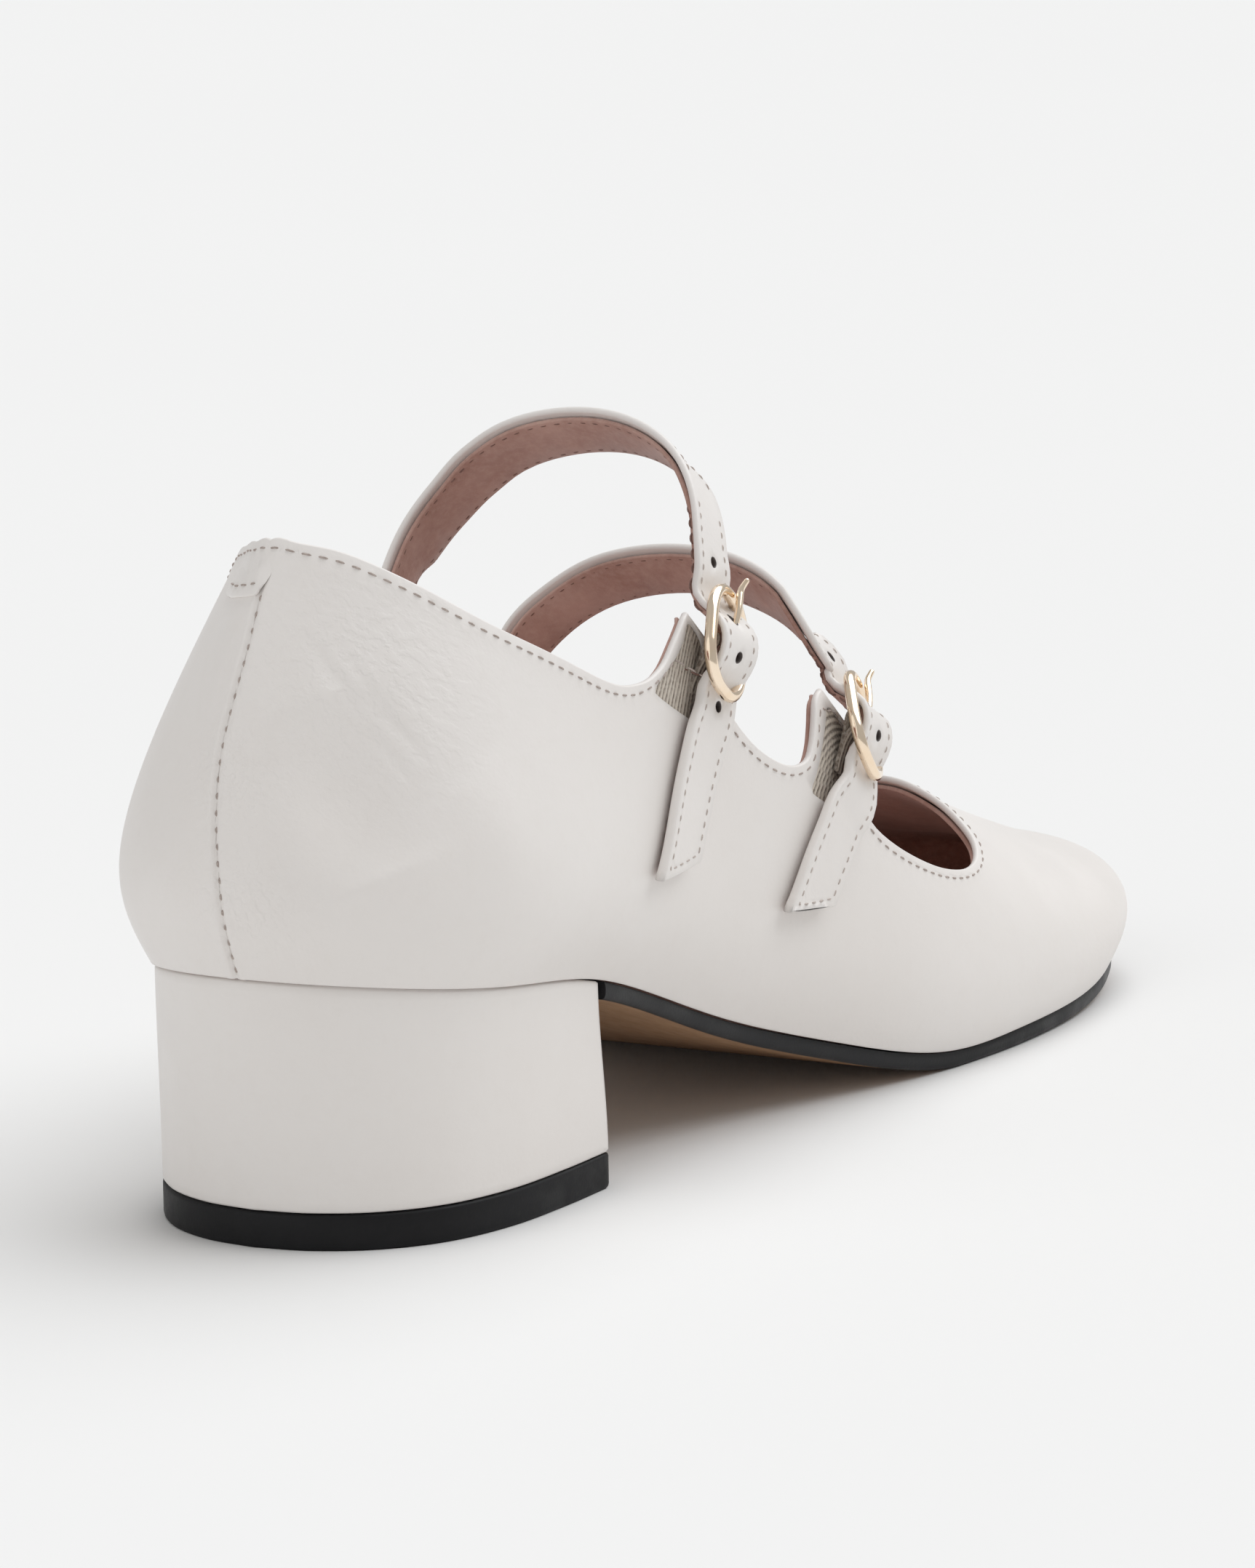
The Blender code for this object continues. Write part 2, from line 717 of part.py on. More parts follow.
def plate_between(lateral, medial, across, bottom, top):
    """Closed plate whose rows run from the outer line to the inner line, between two height rules."""
    rows = len(lateral)
    columns = across + 1
    points = []
    for rule in (bottom, top):
        for a, b in zip(lateral, medial):
            for k in range(columns):
                p = a + (b - a) * k / across
                points.append((p[0], p[1], float(rule(p[0]))))
    size = rows * columns
    faces = []
    for i in range(rows - 1):
        for k in range(across):
            a = i * columns + k
            quad = (a, a + 1, a + columns + 1, a + columns)
            faces.append(quad)
            faces.append(tuple(v + size for v in reversed(quad)))
    rim = [k for k in range(columns)] + [i * columns + across for i in range(1, rows)]
    rim += [(rows - 1) * columns + k for k in range(across - 1, -1, -1)]
    rim += [i * columns for i in range(rows - 2, 0, -1)]
    for a, b in zip(rim, rim[1:] + rim[:1]):
        faces.append((b, a, a + size, b + size))
    points = np.array(points)
    return points, turn_outward(points, faces)


def side_lines(inset, start_x, rows, blunt):
    """Matching points of the outer and inner feather edge from start_x to the toe."""
    outline = feather_outline(640, inset)
    stations = np.linspace(0, STATIONS, 640, endpoint=False)
    outer = outline[stations <= TOE]
    inner = outline[::-1][stations[::-1] >= TOE]
    end = min(outer[:, 0].max(), inner[:, 0].max()) - blunt
    spread = (1 - np.cos(np.linspace(0, math.pi / 2, rows))) * 0.5 + np.linspace(0, 1, rows) * 0.5
    x = end - (end - start_x) * spread[::-1]
    made = []
    for line in (outer, inner):
        order = np.argsort(line[:, 0])
        made.append(np.stack([x, np.interp(x, line[order, 0], line[order, 1])], -1))
    return made


def make_outsole(finish):
    """Outsole from the heel breast to the toe, flat under the ball."""

    def top(x):
        return sole_height(x) - GAP

    def bottom(x):
        return max(0.0, float(sole_height(x)) - GAP - OUTSOLE_THICK)

    lateral, medial = side_lines(OUTSOLE_INSET, BREAST_X + HEEL_INSET + GAP, 40, 0.5)
    points, faces = plate_between(lateral, medial, 4, bottom, top)
    return add_node("outsole", points, faces, finish)


def make_insole(finish):
    """Insole lying inside the upper from heel to toe."""

    def bottom(x):
        return sole_height(x)

    def top(x):
        return sole_height(x) + INSOLE_THICK

    outline = feather_outline(640, INSOLE_INSET)
    back = outline[:, 0].min() + 0.4
    stations = np.linspace(0, STATIONS, 640, endpoint=False)
    outer = outline[stations <= TOE]
    inner = outline[::-1][stations[::-1] >= TOE]
    front = min(outer[:, 0].max(), inner[:, 0].max()) - 0.4
    x = (back + front) / 2 - (front - back) / 2 * np.cos(np.linspace(INSOLE_BACK, math.pi - INSOLE_BACK, 44))
    lines = []
    for line in (outer, inner):
        order = np.argsort(line[:, 0])
        lines.append(np.stack([x, np.interp(x, line[order, 0], line[order, 1])], -1))
    points, faces = plate_between(lines[0], lines[1], 3, bottom, top)
    return add_node("insole", points, faces, finish)


def heel_foot(count):
    """Lower outline of the heel from the outer breast corner round the back to the inner one."""
    half = smooth_line(HEEL_FOOT, 1.0)
    outer = np.stack([half[:, 0], -half[:, 1]], -1)
    line = np.concatenate([outer, half[-2::-1]])
    travel = np.concatenate([[0], np.cumsum(np.linalg.norm(np.diff(line, axis=0), axis=1))])
    at = np.linspace(0, travel[-1], count)
    return np.stack([np.interp(at, travel, line[:, k]) for k in range(2)], -1)


def heel_seat(count):
    """Upper outline of the heel, under the feather edge, over the same sweep."""
    outline = feather_outline(640, HEEL_INSET)
    stations = np.linspace(0, STATIONS, 640, endpoint=False)
    outer = outline[stations <= TOE]
    inner = outline[stations > TOE]
    outer = outer[outer[:, 0] < BREAST_X]
    inner = inner[inner[:, 0] < BREAST_X]
    line = np.concatenate([outer[::-1], inner[::-1]])
    corner_outer = np.array([BREAST_X, line[0, 1]])
    corner_inner = np.array([BREAST_X, line[-1, 1]])
    line = np.concatenate([[corner_outer], line, [corner_inner]])
    travel = np.concatenate([[0], np.cumsum(np.linalg.norm(np.diff(line, axis=0), axis=1))])
    at = np.linspace(0, travel[-1], count)
    return np.stack([np.interp(at, travel, line[:, k]) for k in range(2)], -1)


def make_heel_block(finish):
    """Covered heel block, lofted from its foot to the curved heel seat."""
    count = 49
    foot = heel_foot(count)
    seat = heel_seat(count)
    base = TOP_PIECE_TALL + GAP
    points = []
    for level in HEEL_LEVELS:
        ease = level * level * (3 - 2 * level)
        plan = foot + (seat - foot) * ease
        crown = sole_height(seat[:, 0]) - GAP
        height = base + (crown - base) * level
        points.extend(np.c_[plan, height])
    faces = []
    rows = len(HEEL_LEVELS)
    for r in range(rows - 1):
        for k in range(count):
            a = r * count + k
            b = r * count + (k + 1) % count
            faces.append((a, b, b + count, a + count))
    half = count // 2
    for base_index, order in ((0, -1), ((rows - 1) * count, 1)):
        for k in range(half):
            a = base_index + k
            b = base_index + k + 1
            c = base_index + count - 2 - k
            d = base_index + count - 1 - k
            face = (a, b, c, d) if b != c else (a, b, d)
            faces.append(face[::order])
    points = np.array(points)
    return add_node("heel_block", points, turn_outward(points, faces), finish)


def make_top_piece(finish):
    """Flat rubber top piece under the heel."""
    count = 49
    foot = heel_foot(count)
    points = np.concatenate([np.c_[foot, np.zeros(count)], np.c_[foot, np.full(count, TOP_PIECE_TALL)]])
    faces = [(k, (k + 1) % count, (k + 1) % count + count, k + count) for k in range(count)]
    faces.append(tuple(range(count - 1, -1, -1)))
    faces.append(tuple(range(count, 2 * count)))
    return add_node("heel_top_piece", points, turn_outward(points, faces), finish)


def buckle_axes(rows, bar):
    """Centre of a buckle and its directions: across the strap, up the strap, outward."""
    place, up, along = (part[0] for part in frame_at(along_run(rows, bar), np.array([0.0])))
    across = np.cross(up, along)
    across = across if across[0] > 0 else -across
    tilt = math.radians(BUCKLE_TILT)
    rise = -along * math.cos(tilt) - up * math.sin(tilt)
    out = up * math.cos(tilt) - along * math.sin(tilt)
    return place + up * BUCKLE_STAND, across, rise, out


def rounded_box(wide, tall, radius, corner=4):
    """Rounded rectangle round its centre."""
    line = []
    for sx, sy, start in ((1, 1, 0), (-1, 1, 90), (-1, -1, 180), (1, -1, 270)):
        for k in range(corner + 1):
            angle = math.radians(start + 90 * k / corner)
            line.append(
                (
                    sx * (wide / 2 - radius) + radius * math.cos(angle),
                    sy * (tall / 2 - radius) + radius * math.sin(angle),
                )
            )
    return np.array(line)


def make_buckle_frame(name, rows, bar, finish):
    """Plate with two windows and a middle bar."""
    centre, across, rise, out = buckle_axes(rows, bar)
    outer = rounded_box(BUCKLE_WIDE, BUCKLE_TALL, BUCKLE_ROUND)
    window_wide = BUCKLE_WIDE - 2 * BUCKLE_WIRE
    window_tall = (BUCKLE_TALL - 2 * BUCKLE_WIRE - BUCKLE_BAR) / 2
    lift = (window_tall + BUCKLE_BAR) / 2
    window = rounded_box(window_wide, window_tall, 0.6, 2)
    loops = [outer, window + (0, lift), window - (0, lift)]
    flat = np.concatenate(loops)
    edges = []
    first = 0
    for loop in loops:
        n = len(loop)
        edges += [(first + k, first + (k + 1) % n) for k in range(n)]
        first += n
    found = delaunay_2d_cdt([Vector(p) for p in flat], edges, [], 0, 1e-7)
    place = np.array([(v.x, v.y) for v in found[0]])
    faces = np.array([f for f in found[2]])
    middle = place[faces].mean(1)
    keep = inside(middle, outer) & ~inside(middle, loops[1]) & ~inside(middle, loops[2])
    faces = faces[keep]
    points = centre + place[:, :1] * across + place[:, 1:] * rise + out * BUCKLE_WIRE / 2
    bar_half = BUCKLE_BAR / 2
    thin = np.where(abs(place[:, 1]) <= bar_half + 0.01, BUCKLE_BAR, BUCKLE_WIRE)
    points = points - out * ((BUCKLE_WIRE - thin) / 2)[:, None]
    normals = np.repeat(out[None], len(points), 0)
    solid, shell = thicken(points, normals, faces, thin)
    return add_node(name, solid, shell, finish)


def make_prong(name, rows, bar, finish):
    """Bent pin that rises through the strap's hole and rests over the buckle's far bar."""
    centre, across, rise, out = buckle_axes(rows, bar)
    line = smooth_line(PRONG_LINE, 0.9)
    slope = np.gradient(line, axis=0)
    slope /= np.linalg.norm(slope, axis=1)[:, None]
    sides = 8
    points = []
    for (u, n), (du, dn) in zip(line, slope):
        middle = centre + rise * u + out * n
        side = -rise * dn + out * du
        for k in range(sides):
            angle = 2 * math.pi * k / sides
            points.append(middle + PRONG_RADIUS * (across * math.cos(angle) + side * math.sin(angle)))
    faces = []
    count = len(line)
    for r in range(count - 1):
        for k in range(sides):
            a = r * sides + k
            b = r * sides + (k + 1) % sides
            faces.append((a, b, b + sides, a + sides))
    faces.append(tuple(range(sides - 1, -1, -1)))
    faces.append(tuple((count - 1) * sides + k for k in range(sides)))
    points = np.array(points)
    return add_node(name, points, turn_outward(points, faces), finish)


def make_elastic(name, rows, bar, finish):
    """Elastic sheet on the ear, from under the strap up to the buckle's middle bar."""
    run = along_run(rows, bar)
    distances = np.linspace(ELASTIC_RISE[0][0], ELASTIC_RISE[-1][0], 9)
    made, facing = ribbon_rows(run, distances, ELASTIC_RISE, ELASTIC_WIDE, 4)
    columns = made.shape[1]
    faces = []
    for r in range(len(distances) - 1):
        for k in range(columns - 1):
            a = r * columns + k
            faces.append((a, a + 1, a + columns + 1, a + columns))
    solid, shell = thicken(made.reshape(-1, 3), facing.reshape(-1, 3), faces, ELASTIC_THICK)
    return add_node(name, solid, shell, finish)


def build():
    """Every sub-part of the shoe."""
    clear_scene()
    leather = material("cream_leather", CREAM, 0.5)
    lining = material("rose_lining", LINING, 0.7)
    rubber = material("black_rubber", BLACK, 0.55)
    sole = material("black_sole", BLACK, 0.45)
    gold = material("pale_gold", GOLD, 0.2, 1.0)
    band = material("olive_elastic", OLIVE, 0.85)
    make_upper(leather)
    make_insole(lining)
    make_outsole(sole)
    make_heel_block(material("heel_leather", CREAM, 0.5))
    make_top_piece(rubber)
    for side, rows, bar in (("rear", REAR_RUN, REAR_BAR), ("front", FRONT_RUN, FRONT_BAR)):
        make_buckle_frame(side + "_buckle_frame", rows, bar, gold)
        make_prong(side + "_buckle_prong", rows, bar, gold)
        make_elastic(side + "_elastic", rows, bar, band)


build()
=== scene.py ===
"""Right shoe of a pair: a block-heeled shoe with two buckled straps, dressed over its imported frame.

Tables are in millimetres and are turned into metres when a mesh is made. +X points to the toe,
+Y to the inner side, +Z up, and the shoe stands empty on the floor. The upper follows one last:
sixteen stations run round the sole edge (0 at the back of the heel, 8 at the toe tip, 1 to 7 on
the outer side) and each carries a section that climbs from the feather edge, level 0, to the
ridge over the foot, level 5.
"""

from __future__ import annotations

import logging
import math
from collections.abc import Callable
from dataclasses import dataclass, field
from enum import Enum
from functools import cached_property

import bmesh
import bpy
import numpy as np
from mathutils import Matrix, Vector
from mathutils.bvhtree import BVHTree
from mathutils.geometry import delaunay_2d_cdt
from mathutils.kdtree import KDTree


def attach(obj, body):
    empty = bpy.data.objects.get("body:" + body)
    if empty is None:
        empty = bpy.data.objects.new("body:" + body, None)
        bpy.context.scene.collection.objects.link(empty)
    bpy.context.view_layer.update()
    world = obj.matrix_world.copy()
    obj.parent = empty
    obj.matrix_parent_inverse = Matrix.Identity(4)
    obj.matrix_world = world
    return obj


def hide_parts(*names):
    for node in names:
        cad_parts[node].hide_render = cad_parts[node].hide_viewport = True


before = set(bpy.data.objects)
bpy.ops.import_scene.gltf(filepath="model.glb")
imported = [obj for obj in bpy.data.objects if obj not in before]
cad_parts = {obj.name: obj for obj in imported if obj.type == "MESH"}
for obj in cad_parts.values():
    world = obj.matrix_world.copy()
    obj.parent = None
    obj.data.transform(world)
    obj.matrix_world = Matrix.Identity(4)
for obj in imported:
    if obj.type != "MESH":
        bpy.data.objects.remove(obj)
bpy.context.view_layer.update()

Array = np.ndarray
Rows = tuple[tuple[float, ...], ...]
Face = tuple[int, ...]
Rule = Callable[[Array], Array]
Socket = bpy.types.NodeSocket
Material = bpy.types.Material
Piece = bpy.types.Object
Tone = tuple[float, float, float, float]

MM = 0.001
# Row spacing of staggered points, and the room they keep from a loop, as shares of their step.
ROW_SPACING = 0.866
LOOP_ROOM = 0.55
# Rings of a bar's rounded end: how far out each stands and how wide it is, in shares of the radius.
ROUND_END: Rows = ((0.35, 0.94), (0.75, 0.66), (0.97, 0.25))
# Distance marked on points that have no seam, hole or stitch row of their own near them.
FAR = 9.0
# Marks of a sheet that a finish reads from the mesh.
FINISH_MARKS = ("seam", "row", "punch", "fold", "rib")
log = logging.getLogger("shoe")


class Strap(Enum):
    """The two straps, named by their place on the shoe."""

    REAR = "rear"
    FRONT = "front"


class Side(Enum):
    """The two faces of a leather wall."""

    OUTER = 1
    INNER = -1


# --- small geometry helpers ---

join = np.concatenate


def unit(vectors: Array) -> Array:
    """Vectors scaled to length one."""
    return vectors / np.maximum(np.linalg.norm(vectors, axis=-1, keepdims=True), 1e-12)


def ease(share: Array) -> Array:
    """Smooth step of a share that is kept between nought and one."""
    share = np.clip(share, 0.0, 1.0)
    return share * share * (3.0 - 2.0 * share)


def right_of(ahead: Array) -> Array:
    """Flat directions to the right of the way ahead."""
    return unit(np.stack([ahead[:, 1], -ahead[:, 0]], -1))


def bell(gap: Array, reach: float) -> Array:
    """Hump of height one that fades with distance."""
    return np.exp(-((gap / reach) ** 2))


def travel_of(line: Array) -> Array:
    """Distance travelled at each point of a line."""
    return join([[0.0], np.cumsum(np.linalg.norm(np.diff(line, axis=0), axis=1))])


def at_travel(line: Array, where: Array, travel: Array | None = None) -> Array:
    """Points of a line at given distances along it.

    Args:
        line: Points of the line, one row each.
        where: Distances along the line.
        travel: Distances of the line's own points, when they are known already.

    Returns:
        One row for each distance.
    """
    known = travel_of(line) if travel is None else travel
    return np.stack([np.interp(where, known, line[:, k]) for k in range(line.shape[1])], -1)


def smooth_line(points: Rows | Array, step: float, closed: bool = False) -> Array:
    """Curve that passes through every given point.

    Args:
        points: Points to pass through.
        step: Rough distance between the points that come back.
        closed: Whether the curve returns to its start.

    Returns:
        Points of the curve; a closed curve doesn't repeat its first point.
    """
    p = np.array(points, float)
    ends = (p[-1:], p[:2]) if closed else ([2 * p[0] - p[1]], [2 * p[-1] - p[-2]])
    full = join([ends[0], p, ends[1]])
    made = [p[0]]
    for i in range(1, len(full) - 2):
        a, b, c, d = full[i - 1 : i + 3]
        parts = max(1, int(round(np.linalg.norm(c - b) / step)))
        u = (np.arange(1, parts + 1) / parts)[:, None]
        bend = 2 * b + (c - a) * u + (2 * a - 5 * b + 4 * c - d) * u**2 + (3 * b - a - 3 * c + d) * u**3
        made.extend(bend / 2)
    return np.array(made[:-1] if closed else made)


def natural_curve(knots: Rows, at: Array) -> Array:
    """Natural cubic through a table's pairs, straight beyond its ends.

    Args:
        knots: Pairs of place and value.
        at: Places to evaluate.

    Returns:
        The value at each place.
    """
    x, y = np.array(knots, float).T
    h = np.diff(x)
    n = len(x)
    system = np.eye(n)
    right = np.zeros(n)
    for i in range(1, n - 1):
        system[i, i - 1 : i + 2] = (h[i - 1], 2 * (h[i - 1] + h[i]), h[i])
        right[i] = 6 * ((y[i + 1] - y[i]) / h[i] - (y[i] - y[i - 1]) / h[i - 1])
    bend = np.linalg.solve(system, right)
    q = np.clip(np.asarray(at, float), x[0], x[-1])
    i = np.clip(np.searchsorted(x, q) - 1, 0, n - 2)
    a = (x[i + 1] - q) / h[i]
    b = (q - x[i]) / h[i]
    inner = a * y[i] + b * y[i + 1] + ((a**3 - a) * bend[i] + (b**3 - b) * bend[i + 1]) * h[i] ** 2 / 6
    low = (y[1] - y[0]) / h[0] - h[0] * bend[1] / 6
    high = (y[-1] - y[-2]) / h[-1] + h[-1] * bend[-2] / 6
    over = np.asarray(at, float) - q
    return inner + np.where(over < 0, low, high) * over


def inside(points: Array, loop: Array) -> Array:
    """Which points lie inside a closed flat loop.

    Args:
        points: Flat points.
        loop: Points of the loop.

    Returns:
        True or false for each point.
    """
    found = np.zeros(len(points), bool)
    for p, q in zip(loop, np.roll(loop, -1, 0)):
        if p[1] == q[1]:
            continue
        crosses = (p[1] > points[:, 1]) != (q[1] > points[:, 1])
        found ^= crosses & (points[:, 0] < (q[0] - p[0]) * (points[:, 1] - p[1]) / (q[1] - p[1]) + p[0])
    return found


def nearest_tree(points: Array) -> KDTree:
    """Search tree over points of two or three numbers."""
    tree = KDTree(len(points))
    for k, p in enumerate(points):
        tree.insert((*map(float, p), 0.0)[:3], k)
    tree.balance()
    return tree


def nearest_distance(points: Array, line: Array, closed: bool, step: float) -> Array:
    """Distance of each point from a line.

    Args:
        points: Points to measure, of two or three numbers.
        line: Points of the line.
        closed: Whether the line returns to its start.
        step: Spacing at which the line is sampled.

    Returns:
        One distance for each point.
    """
    full = join([line, line[:1]]) if closed else line
    length = travel_of(full)
    tree = nearest_tree(at_travel(full, np.arange(0.0, length[-1], step), length))
    return np.array([tree.find((*map(float, p), 0.0)[:3])[2] for p in points])


def triangulate(
    outer: Array,
    holes: list[Array],
    step: float,
    finer: list[tuple[Array, float]],
) -> tuple[Array, Array]:
    """Even triangles between flat loops.

    Args:
        outer: Closed outer loop.
        holes: Closed loops that are left open.
        step: Distance between points inside.
        finer: Closed loops with the smaller step used inside each.

    Returns:
        Points, of which the loops' own come first and in order, and the triangles' corners.
    """
    low = outer.min(0)
    high = outer.max(0)

    def lattice(gap: float) -> Array:
        """Staggered rows of points over the outer loop's box."""
        rows = []
        for j, y in enumerate(np.arange(low[1], high[1], gap * ROW_SPACING)):
            x = np.arange(low[0] + (gap / 2 if j % 2 else 0.0), high[0], gap)
            rows.append(np.c_[x, np.full(len(x), y)])
        return join(rows)

    loops = [outer, *holes]
    grid = lattice(step)
    for zone, _ in finer:
        grid = grid[~inside(grid, zone)]
    chosen = [(grid, step)]
    for zone, gap in finer:
        close = lattice(gap)
        chosen.append((close[inside(close, zone)], gap))
    kept = []
    for grid, gap in chosen:
        grid = grid[inside(grid, outer)]
        for hole in holes:
            grid = grid[~inside(grid, hole)]
        for loop in loops:
            grid = grid[nearest_distance(grid, loop, True, gap * 0.4) > gap * LOOP_ROOM]
        kept.append(grid)
    flat = join([*loops, *kept])
    edges = []
    first = 0
    for loop in loops:
        n = len(loop)
        edges += [(first + k, first + (k + 1) % n) for k in range(n)]
        first += n
    found = delaunay_2d_cdt([Vector(p) for p in flat], edges, [], 0, 1e-7)
    place = np.array([(v.x, v.y) for v in found[0]])
    faces = np.array([tuple(f) for f in found[2]])
    middle = place[faces].mean(1)
    keep = inside(middle, outer)
    for hole in holes:
        keep &= ~inside(middle, hole)
    return place, faces[keep]


# --- meshes ---


@dataclass
class Mesh:
    """Points, faces and point marks of one piece, in millimetres."""

    points: Array
    faces: list[Face]
    marks: dict[str, Array] = field(default_factory=dict)
    finish_of: list[int] = field(default_factory=list)

    @classmethod
    def merged(cls, parts: list["Mesh"]) -> "Mesh":
        """Several meshes as one."""
        faces: list[Face] = []
        first = 0
        for part in parts:
            faces.extend(tuple(v + first for v in f) for f in part.faces)
            first += len(part.points)
        return cls(join([part.points for part in parts]), faces)

    def build(
        self,
        name: str,
        finishes: list[Material],
        crisp: float | None = None,
    ) -> Piece:
        """Make the Blender object.

        Args:
            name: Name of the piece.
            finishes: Its materials; finish_of picks one for each face.
            crisp: Angle in degrees beyond which an edge stays sharp, or nothing for all smooth.

        Returns:
            The new object, linked to the scene.
        """
        mesh = bpy.data.meshes.new(name)
        mesh.from_pydata((self.points * MM).tolist(), [], self.faces)
        for finish in finishes:
            mesh.materials.append(finish)
        if self.finish_of:
            mesh.polygons.foreach_set("material_index", self.finish_of)
        mesh.shade_smooth()
        if crisp is not None:
            mesh.set_sharp_from_angle(angle=math.radians(crisp))
        for mark, values in self.marks.items():
            attribute = mesh.attributes.new(mark, "FLOAT", "POINT")
            attribute.data.foreach_set("value", np.asarray(values, np.float32))
        mesh.update()
        made = bpy.data.objects.new(name, mesh)
        bpy.context.scene.collection.objects.link(made)
        return made


def tube(line: Array, radius: float | Array, sides: int, closed: bool, across: Array) -> Mesh:
    """Round bar along a line.

    Args:
        line: Middle line.
        radius: Radius, or one for each point.
        sides: Number of sides.
        closed: Whether the bar returns to its start.
        across: Direction that the bar's section keeps as its first axis.

    Returns:
        The closed bar; an open one has rounded ends.
    """
    ahead = np.roll(line, -1, 0) - np.roll(line, 1, 0) if closed else np.gradient(line, axis=0)
    ahead = unit(ahead)
    first = unit(across - (ahead * across).sum(-1, keepdims=True) * ahead)
    second = np.cross(ahead, first)
    size = np.broadcast_to(np.asarray(radius, float), (len(line),)).copy()
    middle = line.copy()
    if not closed:
        out, wide = np.array(ROUND_END).T
        start = line[0] - ahead[0] * size[0] * out[::-1, None]
        end = line[-1] + ahead[-1] * size[-1] * out[:, None]
        middle = join([start, line, end])
        size = join([size[0] * wide[::-1], size, size[-1] * wide])
        rings = len(ROUND_END)
        first, second = (
            join([np.repeat(axis[:1], rings, 0), axis, np.repeat(axis[-1:], rings, 0)])
            for axis in (first, second)
        )
    turn = np.linspace(0, 2 * math.pi, sides, endpoint=False)
    ring = first[:, None] * np.cos(turn)[None, :, None] + second[:, None] * np.sin(turn)[None, :, None]
    points = (middle[:, None] + ring * size[:, None, None]).reshape(-1, 3)
    count = len(middle)
    faces: list[Face] = []
    for r in range(count if closed else count - 1):
        s = (r + 1) % count
        for k in range(sides):
            m = (k + 1) % sides
            faces.append((r * sides + k, r * sides + m, s * sides + m, s * sides + k))
    if not closed:
        faces.append(tuple(range(sides - 1, -1, -1)))
        faces.append(tuple((count - 1) * sides + k for k in range(sides)))
    return Mesh(points, faces)


def grid_faces(rows: int, columns: int, wrap: bool = False) -> list[Face]:
    """Faces between neighbouring rows of a grid of points, whose rows may close on themselves.

    Args:
        rows: Number of rows.
        columns: Points in a row.
        wrap: Whether each row closes.

    Returns:
        Quads, row by row.
    """
    faces: list[Face] = []
    for low in range(0, (rows - 1) * columns, columns):
        high = low + columns
        for k in range(columns if wrap else columns - 1):
            m = (k + 1) % columns
            faces.append((low + k, low + m, high + m, high + k))
    return faces


def facing(points: Array, normals: Array, faces: Array) -> Array:
    """Triangles of one patch, all turned to look the way that most of its normals point."""
    a, b, c = (points[faces[:, k]] for k in range(3))
    agree = (np.cross(b - a, c - a) * normals[faces[:, 0]]).sum()
    return faces if agree > 0 else faces[:, ::-1]


@dataclass
class Sheet:
    """Open sheet of leather: its outer points, outward normals and faces."""

    points: Array
    normals: Array
    faces: Array
    marks: dict[str, Array] = field(default_factory=dict)

    @cached_property
    def outlines(self) -> list[list[int]]:
        """Closed runs of boundary points, with the sheet on the left."""
        pairs = {}
        for face in self.faces:
            for k in range(3):
                pairs[(int(face[k]), int(face[(k + 1) % 3]))] = True
        ahead = {a: b for a, b in pairs if (b, a) not in pairs}
        loops = []
        while ahead:
            start, here = ahead.popitem()
            loop = [start]
            while here != start:
                loop.append(here)
                here = ahead.pop(here)
            loops.append(loop)
        return sorted(loops, key=len, reverse=True)

    def sideways(self, loop: list[int]) -> Array:
        """Directions in the sheet that point out of it, one for each point of an outline."""
        place = self.points[loop]
        ahead = unit(np.roll(place, -1, 0) - np.roll(place, 1, 0))
        return unit(np.cross(ahead, self.normals[loop]))

    def wall(self, outer: float | Array, inner: float | Array, bulge: list[float], arcs: int) -> Mesh:
        """Closed leather wall with rounded edges.

        Args:
            outer: How far the outer face stands off the sheet, everywhere or at each point.
            inner: How far the inner face lies under the sheet, everywhere or at each point.
            bulge: How far the rounded edge swells at each outline.
            arcs: Number of strips round the edge.

        Returns:
            The closed wall. The marks that finishes read are carried to both faces.
        """
        count = len(self.points)
        top = self.points + self.normals * np.reshape(outer, (-1, 1))
        low = self.points - self.normals * np.reshape(inner, (-1, 1))
        points = [top, low]
        faces = [tuple(map(int, f)) for f in self.faces]
        faces += [tuple(v + count for v in reversed(f)) for f in faces]
        marks = {name: [self.marks[name]] * 2 for name in FINISH_MARKS if name in self.marks}
        made = 2 * count
        for loop, swell in zip(self.outlines, bulge):
            out = self.sideways(loop)
            rows = [loop]
            for k in range(1, arcs):
                turn = math.pi * k / arcs
                depth = (1 - math.cos(turn)) / 2
                points.append(top[loop] * (1 - depth) + low[loop] * depth + out * swell * math.sin(turn))
                rows.append(list(range(made, made + len(loop))))
                made += len(loop)
                for name, parts in marks.items():
                    parts.append(self.marks[name][loop])
            rows.append([v + count for v in loop])
            for upper, lower in zip(rows, rows[1:]):
                for k in range(len(loop)):
                    m = (k + 1) % len(loop)
                    faces.append((upper[m], upper[k], lower[k], lower[m]))
        joined = {name: join(parts) for name, parts in marks.items()}
        return Mesh(join(points), faces, joined)

    def drawn_in(self, amount: list[float]) -> "Sheet":
        """The same sheet with each outline moved inward by an amount of its own."""
        points = self.points.copy()
        for loop, inset in zip(self.outlines, amount):
            points[loop] -= self.sideways(loop) * inset
        return Sheet(points, self.normals, self.faces, self.marks)

    @cached_property
    def tree(self) -> BVHTree:
        """Search tree over the faces."""
        return BVHTree.FromPolygons(self.points.tolist(), [tuple(map(int, f)) for f in self.faces])

    def drop(self, points: Array) -> tuple[Array, Array]:
        """Nearest places on the sheet and the outward normals there.

        Args:
            points: Points near the sheet.

        Returns:
            The places and their normals.
        """
        places = []
        normals = []
        for p in points:
            place, _, index, _ = self.tree.find_nearest(Vector(p))
            corners = self.faces[index]
            gap = np.linalg.norm(self.points[corners] - np.array(place), axis=1)
            places.append(place)
            normals.append((self.normals[corners] / np.maximum(gap, 1e-3)[:, None]).sum(0))
        return np.array(places), unit(np.array(normals))


# --- the last ---


